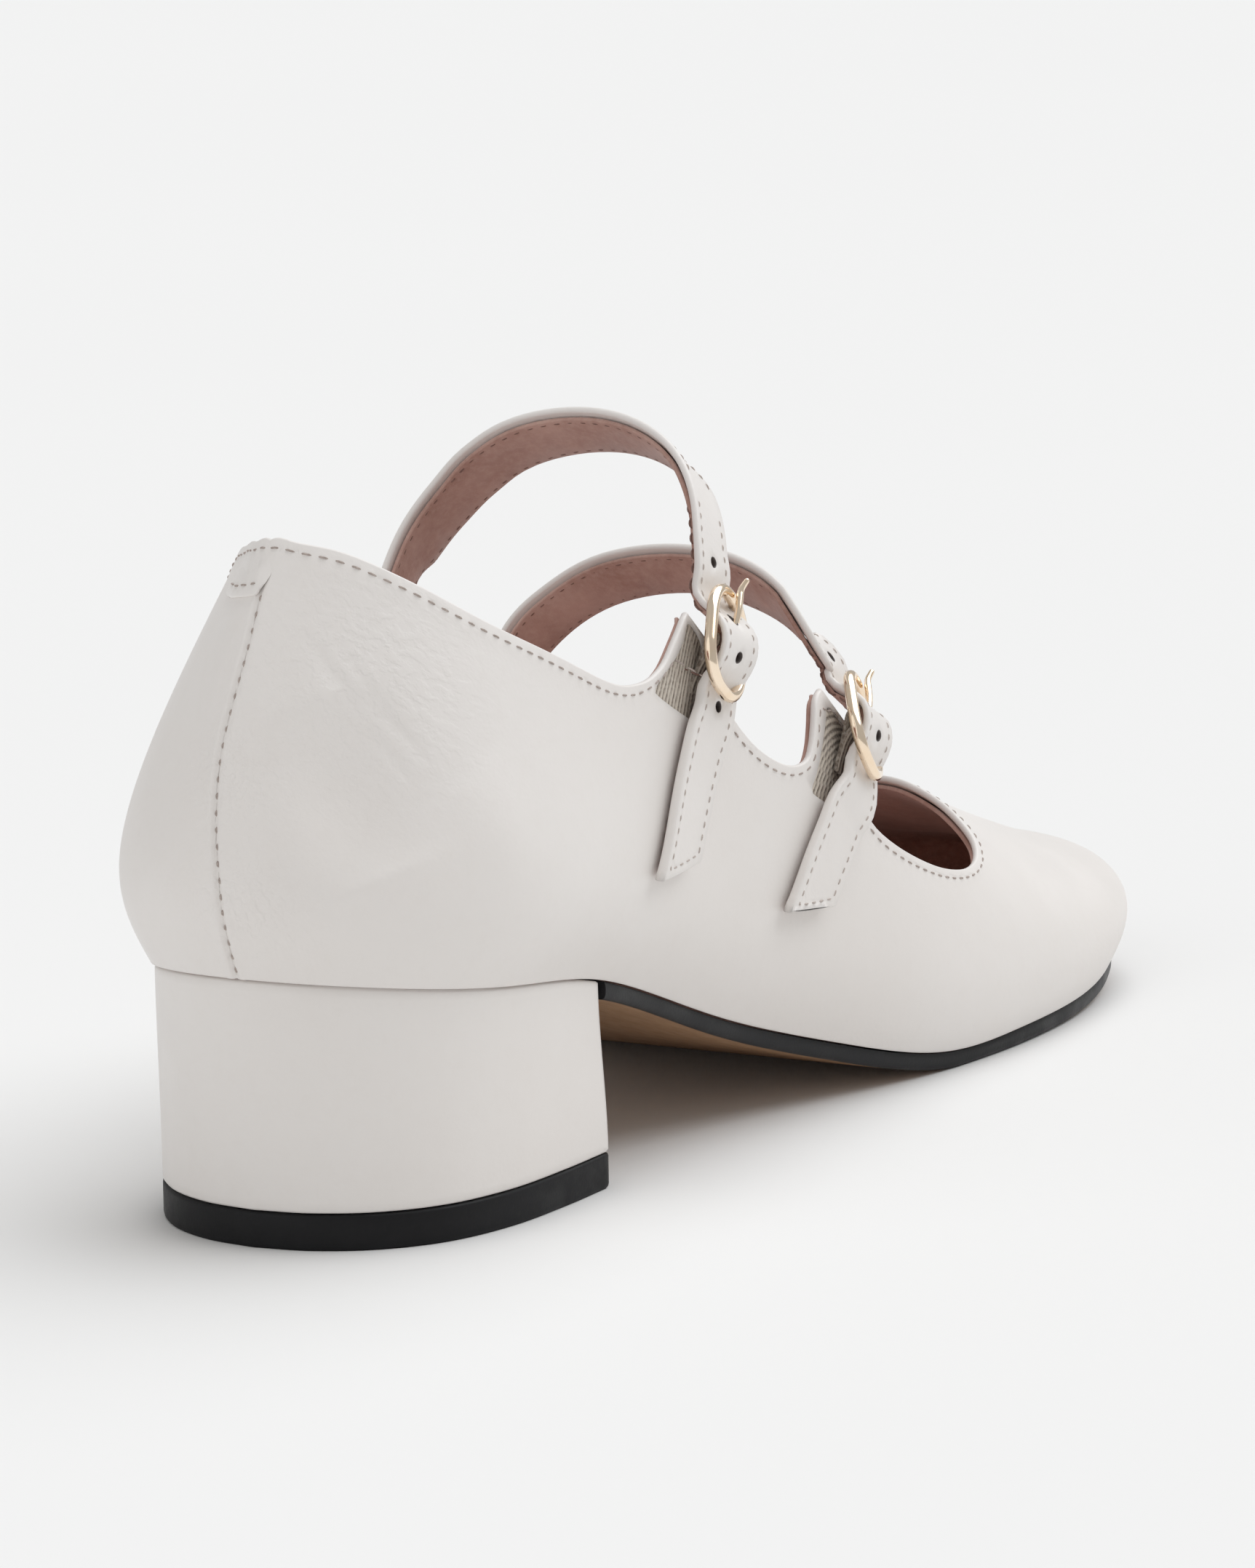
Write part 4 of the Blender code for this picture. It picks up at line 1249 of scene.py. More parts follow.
def settle(piece: Piece, slot: str, *nodes: str) -> Piece:
    """Fix a piece to the shoe.

    Args:
        piece: The piece.
        slot: Name of a material slot of the record; not used.
        nodes: CAD nodes that it stands for.

    Returns:
        The same piece.
    """
    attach(piece, "root")
    if nodes:
        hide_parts(*nodes)
    log.info("%s: %d faces", piece.name, len(piece.data.polygons))
    return piece


# --- stitching ---


@dataclass(frozen=True)
class StitchRow:
    """Row of thread dashes laid on leather."""

    pitch: float = 2.4
    long: float = 1.7
    radius: float = 0.15
    rise: float = 0.07
    dip: float = 0.24
    sections: int = 5
    sides: int = 6

    def lay(self, line: Array, normals: Array, side: Side = Side.OUTER, depth: float = 0.0) -> Mesh:
        """Dashes along a line.

        Args:
            line: Points of the row on the leather.
            normals: Outward normals there.
            side: Face of the leather that the row shows on.
            depth: How far under the outer face that side lies.

        Returns:
            All the dashes as one mesh.
        """
        travel = travel_of(line)
        count = max(1, int(travel[-1] / self.pitch))
        middle = (np.arange(count) + 0.5) * travel[-1] / count
        share = np.linspace(-1, 1, self.sections)
        where = middle[:, None] + share[None] * self.long / 2
        points = at_travel(line, where.ravel(), travel)
        up = unit(at_travel(normals, where.ravel(), travel)) * side.value
        ahead = unit(np.gradient(points.reshape(count, self.sections, 3), axis=1)).reshape(-1, 3)
        aside = unit(np.cross(ahead, up))
        height = (self.rise - self.dip * share**2)[None].repeat(count, 0).ravel()
        points = points + up * (height + (depth if side is Side.INNER else 0.0))[:, None]
        turn = np.linspace(0, 2 * math.pi, self.sides, endpoint=False)
        ring = aside[:, None] * np.cos(turn)[None, :, None] + up[:, None] * np.sin(turn)[None, :, None]
        size = np.where(np.abs(share) > 0.99, 0.6, 1.0)[None].repeat(count, 0).ravel() * self.radius
        dots = (points[:, None] + ring * size[:, None, None]).reshape(-1, 3)
        faces: list[Face] = []
        per = self.sections * self.sides
        one = grid_faces(self.sections, self.sides, wrap=True)
        one += [tuple(range(self.sides - 1, -1, -1)), tuple(range(per - self.sides, per))]
        for n in range(count):
            faces.extend(tuple(v + n * per for v in f) for f in one)
        return Mesh(dots, faces)


def relaxed(line: Array, rounds: int) -> Array:
    """Line with its small kinks smoothed."""
    for _ in range(rounds):
        line = join([line[:1], (line[:-2] + 2 * line[1:-1] + line[2:]) / 4, line[-1:]])
    return line


# --- the upper ---


@dataclass(frozen=True)
class Crease:
    """Soft trough or ridge drawn on the upper, from one place to another."""

    start: tuple[float, ...]
    end: tuple[float, ...]
    depth: float
    width: float


REAR_WINDOW: Rows = (
    (3.575, 2.93), (3.535, 2.82), (3.46, 2.69), (3.37, 2.565), (3.275, 2.43), (3.30, 2.395),
    (3.45, 2.375), (3.60, 2.38), (3.70, 2.46), (3.73, 2.62), (3.71, 2.78), (3.66, 2.92),
)
FRONT_WINDOW: Rows = (
    (4.735, 3.09), (4.665, 2.95), (4.575, 2.76), (4.475, 2.55), (4.395, 2.39), (4.42, 2.355),
    (4.54, 2.355), (4.66, 2.44), (4.76, 2.62), (4.83, 2.82), (4.87, 2.98), (4.84, 3.09),
)
# Soft hollow low on the outer quarter, fine wrinkles behind the ankle and small folds at the heel:
# station and level of both ends, depth and width.
WRINKLES: Rows = (
    (0.70, 2.05, 1.15, 1.10, 2.9, 9.0), (1.70, 1.75, 2.05, 1.05, -0.6, 7.0),
    (0.10, 2.62, 0.55, 2.80, -0.16, 0.55), (0.62, 2.42, 1.02, 2.16, 0.26, 0.6),
    (0.72, 2.30, 1.16, 2.02, 0.32, 0.65), (0.90, 2.38, 1.22, 2.15, 0.24, 0.55),
    (0.92, 2.24, 1.40, 1.92, 0.32, 0.65), (1.10, 2.22, 1.52, 1.80, 0.30, 0.65),
    (1.12, 2.02, 1.42, 1.68, 0.26, 0.6), (0.30, 0.92, 0.12, 0.50, 0.24, 0.6),
    (0.20, 0.86, 0.05, 0.52, 0.2, 0.6), (0.10, 1.98, 0.04, 1.70, 0.2, 0.6),
    (15.80, 2.45, 15.70, 2.05, 0.10, 0.6),
)


@dataclass
class Upper:
    """Leather upper with its straps, lining, seams, stitches and heel tab."""

    last: Last
    pattern: Pattern
    paths: dict[Strap, StrapPath]
    finishes: Finishes
    mesh_step: float = 1.25
    fine_step: float = 0.6
    lining_step: float = 2.4
    strap_step: float = 1.5
    strips: int = 8
    # Length of the feather edge in the flat picture, and reach of the finer mesh beside a seam.
    ring_length: float = 560.0
    seam_zone: float = 1.6
    # Width from which a crease is a hollow that the lining follows too, and below which it is fine.
    wide_crease: float = 3.0
    leather: float = 1.05
    lining_top: float = 1.15
    lining_low: float = 1.8
    lining_gap: float = 0.04
    # Amounts at the cut edge, the feather edge and the holes: swell of the edges, inset of the lining.
    leather_swell: tuple[float, ...] = (0.34, 0.22, 0.08)
    lining_swell: tuple[float, ...] = (0.15, 0.1, 0.0)
    lining_inset: tuple[float, ...] = (0.6, 0.4, 0.0)
    # How much narrower a strap's lining is on each side before that inset.
    strap_inset: float = 0.7
    # How low the feather edge reaches, and the points it has at the least.
    feather_low: float = 6.0
    feather_least: int = 60
    # Folded edge: rise and reach. Dip under a stitch row: depth and reach.
    edge_fold: tuple[float, float] = (0.26, 2.6)
    row_dip: tuple[float, float] = (0.08, 0.5)
    # Groove of a seam: depth and reach. Lip beside it: rise, place and reach.
    seam_groove: tuple[float, float] = (0.45, 0.40)
    seam_lip: tuple[float, float, float] = (0.14, 0.95, 0.45)
    strap_wide: float = 8.8
    tail_wide: float = 9.2
    # Distances from the middle bar between which the strap widens, and reach of the mouth's blend.
    widening: tuple[float, float] = (3.0, 14.0)
    mouth_blend: float = 9.0
    tail_slant: float = 7.0
    tail_leather: float = 1.6
    hole_radius: float = 0.8
    hole_sides: int = 14
    # Distances of the punched holes from the middle bar.
    holes: dict[Strap, tuple[float, ...]] = field(
        default_factory=lambda: {Strap.REAR: (-12.0, -3.4, 2.2, 9.3), Strap.FRONT: (-12.0, -3.4, 2.2)}
    )
    row_inset: float = 1.2
    strap_row_inset: float = 1.0
    # Share of its inset that a row keeps from every edge, and the room it keeps from a window.
    row_clear: float = 0.93
    window_clear: float = 1.6
    edge_row: StitchRow = StitchRow()
    strap_row: StitchRow = StitchRow(pitch=1.95, long=1.35, radius=0.125, rise=0.05, dip=0.2)
    seam_row: StitchRow = StitchRow(pitch=2.35, long=1.0, radius=0.24)
    # Distances of the stitches from the back seam and the side seam.
    back_aside: float = 0.3
    side_aside: float = 1.4
    # Windows in the ears where the elastic shows.
    windows: dict[Strap, Rows] = field(
        default_factory=lambda: {Strap.REAR: REAR_WINDOW, Strap.FRONT: FRONT_WINDOW}
    )
    window_step: float = 0.25
    rib_pitch: float = 0.85
    rib_rise: float = 0.3
    bead_pitch: float = 0.8
    # Fan of the ribs: its start along the strap, its radius there, and how far on the pitch is taken.
    fan_start: float = 4.0
    fan: float = 34.0
    fan_past: float = 4.0
    panel_low: float = 0.45
    panel_thick: float = 1.0
    # Back seam and inner side seam, from the cut edge down.
    back_seam: Rows = (
        (0.02, 2.60), (15.98, 2.30), (15.90, 1.95), (15.89, 1.70), (15.94, 1.35), (15.99, 0.9), (0.0, 0.02),
    )
    side_seam: Rows = (
        (11.49, 2.62), (11.66, 2.30), (11.82, 1.90), (11.99, 1.40), (12.19, 0.92), (12.59, 0.03),
    )
    tab: Rows = (
        (0.14, 2.77), (0.15, 2.70), (0.10, 2.635), (0.02, 2.60), (15.96, 2.572), (15.7, 2.56),
        (15.39, 2.55), (15.1, 2.555), (14.85, 2.59), (14.8, 2.68), (14.9, 2.75), (15.4, 2.77),
        (15.8, 2.78),
    )
    tab_thick: float = 0.55
    # Rows of the tab's outline that make its lower lip, and those that its stitches follow.
    tab_lip: tuple[int, int] = (2, 8)
    tab_row: tuple[int, int] = (3, 8)
    tab_fold: Rows = ((0.13, 2.66), (0.15, 2.70), (0.14, 2.77))
    # Knot of leather at its corner: station and level, height and reach.
    tab_knot: Rows = ((0.05, 2.64), (0.4, 1.2))
    # Places of the finest wrinkles: station, level and reach.
    folds: Rows = ((1.1, 2.15, 15.0), (0.22, 0.8, 9.0), (0.12, 1.7, 8.0))
    creases: tuple[Crease, ...] = tuple(Crease(row[:2], row[2:4], *row[4:]) for row in WRINKLES)

    def ribbon_half(self, where: Array) -> Array:
        """Half width of a strap past its mouth, at distances from the middle bar."""
        return np.interp(where, self.widening, (self.strap_wide / 2, self.tail_wide / 2))

    def strap_sheet(self, strap: Strap, mouth: Array, step: float, inset: float) -> Sheet:
        """Ribbon of a strap from its mouth to its tip.

        Args:
            strap: Which strap.
            mouth: Points of the mouth, back edge to front edge.
            step: Distance between points.
            inset: How much narrower the ribbon is on each side.

        Returns:
            The ribbon with the upper's marks. The mouth's points come first.
        """
        path = self.paths[strap]
        travel = path.run(self.last)[2]
        start = float(travel[0])
        end = float(travel[-1])
        mouth_half = float(np.linalg.norm(mouth[-1] - mouth[0])) / 2

        def half(where: Array) -> Array:
            """Half width of the ribbon."""
            share = ease((where - start) / self.mouth_blend)
            return mouth_half + (self.ribbon_half(where) - inset - mouth_half) * share

        count = self.strips + 1
        first = np.c_[np.full(count, start), np.linspace(-mouth_half, mouth_half, count)]
        short = end - self.tail_slant
        front = np.linspace(start, short, int((short - start) / step) + 1)[1:]
        back = np.linspace(start, end, int((end - start) / step) + 1)[1:]
        tip = np.linspace(1, -1, max(4, int(self.tail_wide / step)) + 1)[1:-1]
        slant = (short + end) / 2 - tip * self.tail_slant / 2
        sides = [np.c_[front, half(front)], np.c_[slant, tip * half(slant)], np.c_[back, -half(back)][::-1]]
        turn = np.linspace(0, 2 * math.pi, self.hole_sides, endpoint=False)
        circle = self.hole_radius * np.stack([np.cos(turn), np.sin(turn)], -1)
        punched = [circle + (place, 0.0) for place in self.holes[strap]]
        flat, faces = triangulate(join([first, *sides]), punched, step, [])
        points, normals = path.spread(self.last, flat[:, 0], flat[:, 1])
        shift = mouth - points[:count]
        share = (1 - ease((flat[:, 0] - start) / self.mouth_blend))[:, None]
        points = points + at_travel(shift, flat[:, 1], first[:, 1]) * share
        tip_at = (short + end) / 2 - flat[:, 1] / half(flat[:, 0]) * self.tail_slant / 2
        gaps = [np.hypot(flat[:, 0] - place, flat[:, 1]) for place in self.holes[strap]]
        marks = {
            "away": np.minimum(half(flat[:, 0]) - np.abs(flat[:, 1]), (tip_at - flat[:, 0]) * 0.9),
            "seam": np.full(len(flat), FAR),
            "strap": np.ones(len(flat)),
            "tail": ease((flat[:, 0] - self.widening[0]) / 4.0),
            # Distance from the punched holes; the leather finish paints shade on the holes' walls from it.
            "punch": np.min(gaps, axis=0) - self.hole_radius,
            "fold": np.zeros(len(flat)),
        }
        return Sheet(points, normals, facing(points, normals, faces), marks)

    def lifted(self, flat: Array, faces: Array) -> tuple[Array, Array, Array]:
        """Points, normals and triangles on the last of a mesh in the flat picture."""
        station, level = self.last.from_plan(flat)
        points = self.last.point(station, level)
        normals = self.last.normal(station, level)
        return points, normals, facing(points, normals, faces)

    def sheet(self, step: float, fine: bool) -> Sheet:
        """Whole upper as one sheet on the last.

        Args:
            step: Distance between points.
            fine: Whether the leather's own windows, holes and seams are wanted.

        Returns:
            The sheet. Its marks are distances from the cut edge, the seams and the punched holes,
            and shares of strap, free end and fine wrinkles.
        """
        last = self.last
        around = round(self.ring_length / step)
        ring = last.to_plan(np.arange(0, last.stations, last.stations / around), np.zeros(around))
        cut, mouths = self.pattern.loop(last, 1.0, self.strips)
        holes = [cut]
        zones = []
        if fine:
            holes += [last.plan_line(rows, 0.5, True) for rows in self.windows.values()]
            bands = [(rows, self.seam_zone) for rows in (self.back_seam, self.side_seam)]
            bands += [((c.start, c.end), c.width * 2.2) for c in self.creases if c.width < self.wide_crease]
            zones = [(self.band(*band), self.fine_step) for band in bands]
        points, normals, faces = self.lifted(*triangulate(ring, holes, step, zones))
        first = len(ring)
        between = {first + k for row in mouths.values() for k in row[1:-1]}
        edge = [k for k in range(first, first + len(cut)) if k not in between]
        edge_tree = nearest_tree(points[edge])
        seams = [self.drawn(rows) for rows in (self.back_seam, self.side_seam)]
        spots = last.point(*np.array([fold[:2] for fold in self.folds]).T)
        reaches = [fold[2] for fold in self.folds]
        wrinkled = [bell(np.linalg.norm(points - at, axis=1), reach) for at, reach in zip(spots, reaches)]
        marks = {
            "away": np.array([edge_tree.find(tuple(p))[2] for p in points]),
            "seam": np.min([nearest_distance(points, line, False, 0.3) for line in seams], axis=0),
            "strap": np.zeros(len(points)),
            "tail": np.zeros(len(points)),
            "punch": np.full(len(points), FAR),
            "fold": np.max(wrinkled, axis=0),
        }
        for strap, row in mouths.items():
            mouth = [first + k % len(cut) for k in row[::-1]]
            new = slice(len(mouth), None)
            inset = 0.0 if fine else self.strap_inset
            ribbon = self.strap_sheet(strap, points[mouth], min(step, self.strap_step), inset)
            rename = [*mouth, *range(len(points), len(points) + len(ribbon.points) - len(mouth))]
            faces = join([faces, np.array(rename)[ribbon.faces]])
            points = join([points, ribbon.points[new]])
            normals = join([normals, ribbon.normals[new]])
            marks = {name: join([old, ribbon.marks[name][new]]) for name, old in marks.items()}
        return Sheet(points, normals, faces, marks)

    def drawn(self, rows: Rows) -> Array:
        """Line on the last through places given by station and level."""
        return self.last.point(*self.last.from_plan(self.last.plan_line(rows, 0.6)))

    def band(self, rows: Rows, half: float) -> Array:
        """Closed loop in the flat picture round a drawn line."""
        line = self.last.plan_line(rows, 1.5)
        aside = right_of(np.gradient(line, axis=0)) * half
        return join([line + aside, (line - aside)[::-1]])

    def edge_rise(self, away: Array) -> Array:
        """Rise of the folded edge at distances from the cut."""
        rise, reach = self.edge_fold
        return rise * (1 - ease(away / reach))

    def relief(self, sheet: Sheet) -> Array:
        """Height of creases, folded edges and seams over the plain sheet.

        Args:
            sheet: Plain sheet with its marks.

        Returns:
            Height of each point.
        """
        away = sheet.marks["away"]
        seam = sheet.marks["seam"]
        dip, dip_reach = self.row_dip
        groove, groove_reach = self.seam_groove
        lip, lip_at, lip_reach = self.seam_lip
        height = self.edge_rise(away) - dip * bell(away - self.row_inset, dip_reach)
        height -= groove * bell(seam, groove_reach)
        height += lip * bell(seam - lip_at, lip_reach)
        return height - self.sag(sheet.points, 0.0)

    def sag(self, points: Array, least: float) -> Array:
        """Depth of the creases that are at least this wide.

        Args:
            points: Points of the upper.
            least: Least width of the creases.

        Returns:
            Depth at each point.
        """
        depth = np.zeros(len(points))
        for crease in (crease for crease in self.creases if crease.width >= least):
            ends = self.last.point(*np.array([crease.start, crease.end]).T)
            line = smooth_line(np.array([ends[0], ends.mean(0), ends[1]]), 0.8)
            span = ends[1] - ends[0]
            where = np.clip((points - ends[0]) @ span / (span @ span), 0, 1)
            fade = np.sin(math.pi * where) ** 0.7
            depth += crease.depth * bell(nearest_distance(points, line, False, 0.8), crease.width) * fade
        return depth

    def rows(self, sheet: Sheet) -> list[tuple[Array, bool]]:
        """Stitch rows along the cut edge and round the straps' free ends.

        Args:
            sheet: The raised leather.

        Returns:
            Each row's points, and whether it lies on a strap's free end.
        """
        loop = sheet.outlines[self.cut_outline(sheet)]
        ribbon = sheet.marks["strap"][loop] > 0.5
        windows = [self.last.point(*np.array(rows).T) for rows in self.windows.values()]
        window_tree = nearest_tree(join(windows))
        edge = sheet.points[loop]
        moved = edge - sheet.sideways(loop) * self.row_inset
        count = len(loop)
        around = np.arange(-45, 46)
        least = 6
        runs: list[list[Array]] = [[]]
        for k in np.roll(np.arange(count), -int(np.argmax(ribbon))):
            near = edge[(k + around) % count]
            clear = np.linalg.norm(near - moved[k], axis=1).min() > self.row_inset * self.row_clear
            if ribbon[k]:
                runs.append([])
            elif clear and window_tree.find(tuple(moved[k]))[2] > self.window_clear:
                runs[-1].append(moved[k])
        lines = [(relaxed(np.array(run), 3), False) for run in runs if len(run) > least]
        return lines + [(self.ribbon_row(strap), True) for strap in Strap]

    def ribbon_row(self, strap: Strap) -> Array:
        """Stitch row of a strap's free end: down one side, across the tip and up the other.

        Args:
            strap: Which strap.

        Returns:
            Points of the row.
        """
        path = self.paths[strap]
        travel = path.run(self.last)[2]
        inset = self.strap_row_inset
        slope = self.tail_slant / self.tail_wide
        middle = float(travel[-1]) - self.tail_slant / 2 - inset * math.hypot(1, slope)
        wide = self.tail_wide / 2 - inset
        start = float(travel[0]) + 5
        front, back = (np.arange(start, middle + side * slope * wide, 0.5) for side in (-1, 1))
        tip = np.linspace(wide, -wide, 18)
        flat = join(
            [
                np.c_[front, self.ribbon_half(front) - inset],
                np.c_[middle - tip * slope, tip],
                np.c_[back, inset - self.ribbon_half(back)][::-1],
            ]
        )
        return path.spread(self.last, flat[:, 0], flat[:, 1])[0]

    @staticmethod
    def cut_outline(sheet: Sheet) -> int:
        """Index of the outline that is the cut edge: the one that reaches highest."""
        return int(np.argmax([sheet.points[loop][:, 2].max() for loop in sheet.outlines]))

    def by_outline(self, sheet: Sheet, amounts: tuple[float, ...]) -> list[float]:
        """One amount for each outline, out of those of the cut edge, the feather edge and the holes.

        Args:
            sheet: The upper or its lining.
            amounts: The three amounts.

        Returns:
            An amount for each outline.
        """
        cut, feather, hole = amounts
        chosen = []
        for loop in sheet.outlines:
            low = sheet.points[loop][:, 2].min() < self.feather_low and len(loop) > self.feather_least
            chosen.append(feather if low else hole)
        chosen[self.cut_outline(sheet)] = cut
        return chosen

    def build(self) -> list[Piece]:
        """Make and dress every piece of the upper.

        Returns:
            The dressed pieces.
        """
        fine = self.sheet(self.mesh_step, True)
        relief = fine.normals * self.relief(fine)[:, None]
        raised = Sheet(fine.points + relief, fine.normals, fine.faces, fine.marks)
        rows = self.rows(raised)
        raised.marks["row"] = self.row_marks(raised, rows)
        thick = self.leather + (self.tail_leather - self.leather) * raised.marks["tail"]
        outer = raised.wall(0.0, thick, self.by_outline(raised, self.leather_swell), 6)
        pieces = [settle(outer.build("upper_leather", [self.finishes.leather]), "upper_leather", "upper")]
        pieces.append(self.lining())
        pieces.extend(self.stitches(raised, rows))
        pieces.append(self.heel_tab(raised))
        pieces.extend(self.panel(strap, rows) for strap, rows in self.windows.items())
        return pieces

    def lining(self) -> Piece:
        """Make and dress the lining under the leather."""
        coarse = self.sheet(self.lining_step, False)
        tail = self.tail_leather + self.lining_gap
        top = self.lining_top + (tail - self.lining_top) * coarse.marks["tail"]
        deep = top + self.sag(coarse.points, self.wide_crease)
        lower = Sheet(coarse.points - coarse.normals * deep[:, None], coarse.normals, coarse.faces)
        lower = lower.drawn_in(self.by_outline(lower, self.lining_inset))
        inner = lower.wall(0.0, self.lining_low - top, self.by_outline(lower, self.lining_swell), 3)
        return settle(inner.build("upper_lining", [self.finishes.lining]), "lining")

    def stitches(self, ground: Sheet, rows: list[tuple[Array, bool]]) -> list[Piece]:
        """Make and dress every row of thread.

        Args:
            ground: The raised leather.
            rows: Rows along the cut edges, which show on both faces.

        Returns:
            The leather's stitches, the straps' and the lining's.
        """
        made: list[Mesh] = []
        straps: list[Mesh] = []
        within: list[Mesh] = []
        for line, ribbon in rows:
            place, normal = ground.drop(line)
            if ribbon:
                straps.append(self.strap_row.lay(place, normal))
            else:
                made.append(self.edge_row.lay(place, normal))
            within.append(self.edge_row.lay(place, normal, Side.INNER, self.lining_low))
        for seam, aside, row in (
            (self.back_seam, self.back_aside, self.seam_row),
            (self.side_seam, self.side_aside, self.edge_row),
        ):
            line = self.drawn(seam)
            ahead = unit(np.gradient(line, axis=0))
            place, normal = ground.drop(line)
            place, normal = ground.drop(place + np.cross(normal, ahead) * aside)
            made.append(row.lay(relaxed(place, 2), normal))
        low = self.tab[slice(*self.tab_row)]
        place, normal = ground.drop(self.drawn(tuple((station, level + 0.05) for station, level in low)))
        made.append(self.edge_row.lay(place + normal * (self.tab_thick + 0.02), normal))
        finishes = self.finishes
        return [
            settle(Mesh.merged(made).build("upper_stitches", [finishes.thread]), "upper_leather"),
            settle(Mesh.merged(straps).build("strap_stitches", [finishes.strap_thread]), "upper_leather"),
            settle(Mesh.merged(within).build("lining_stitches", [finishes.lining_thread]), "lining"),
        ]

    def row_marks(self, sheet: Sheet, rows: list[tuple[Array, bool]]) -> Array:
        """Distance of each point from the nearest stitch row."""
        dense = [at_travel(line, np.arange(0, travel_of(line)[-1], 0.35)) for line, _ in rows]
        tree = nearest_tree(join(dense))
        return np.array([min(tree.find(tuple(p))[2], 6.0) for p in sheet.points])

    def heel_tab(self, raised: Sheet) -> Piece:
        """Tab of the outer quarter that laps over the back seam, up to the topline.

        Args:
            raised: The raised leather, whose cut edge the tab meets.

        Returns:
            The dressed tab.
        """
        last = self.last
        points, normals, faces = self.lifted(*triangulate(last.plan_line(self.tab, 0.6, True), [], 0.8, []))
        cut = raised.points[raised.outlines[self.cut_outline(raised)]]
        knot_at, (knot, knot_reach) = self.tab_knot
        rise = self.edge_rise(nearest_distance(points, cut, True, 0.4))
        rise += knot * bell(np.linalg.norm(points - last.point(*knot_at), axis=1), knot_reach)
        points = points + normals * rise[:, None]
        far = np.full(len(points), FAR)
        marks = {"seam": far, "row": far, "punch": far, "fold": np.zeros(len(points))}
        lip = self.drawn(self.tab[slice(*self.tab_lip)])
        fade = 1 - ease((nearest_distance(points, lip, False, 0.3) - 1.4) / 2.6)
        fade *= ease(nearest_distance(points, self.drawn(self.tab_fold), False, 0.3) / 2.2)
        sheet = Sheet(points, normals, faces, marks)
        solid = sheet.wall(self.tab_thick * fade - 0.04, 0.1, [0.15], 6)
        return settle(solid.build("heel_tab", [self.finishes.leather]), "upper_leather")

    def panel(self, strap: Strap, rows: Rows) -> Piece:
        """Ribbed elastic that fills an ear's window, its ribs fanned from above the ear.

        Args:
            strap: Strap whose buckle the elastic holds.
            rows: Outline of the window.

        Returns:
            The dressed panel.
        """
        outline = self.last.plan_line(rows, 0.4, True)
        points, normals, faces = self.lifted(*triangulate(outline, [], self.window_step, []))
        run = self.paths[strap].run(self.last)
        place, up, along = (part[0] for part in StrapPath.frame(run, np.array([self.fan_start])))
        across = StrapPath.toeward(up, along)
        span = points - (place - along * self.fan)
        reach = np.linalg.norm(span, axis=1)
        column = np.arctan2(span @ across, span @ along) * (self.fan + self.fan_past) / self.rib_pitch
        rib = 0.5 + 0.5 * np.cos(2 * math.pi * column)
        bead = 0.5 + 0.5 * np.cos(2 * math.pi * (reach / self.bead_pitch + 0.5 * np.round(column)))
        rib = rib * (1 - 0.3 * ease((span @ across + 5.5) / 2.5) * bead)
        # The rib mark also sets the painted shade of the valleys in the elastic's finish.
        sheet = Sheet(points + normals * (rib * self.rib_rise)[:, None], normals, faces, {"rib": rib})
        solid = sheet.wall(-self.panel_low, self.panel_thick, [0.1], 3)
        return settle(solid.build(strap.value + "_elastic_window", [self.finishes.elastic]), "elastic")


# --- buckles and elastic ---


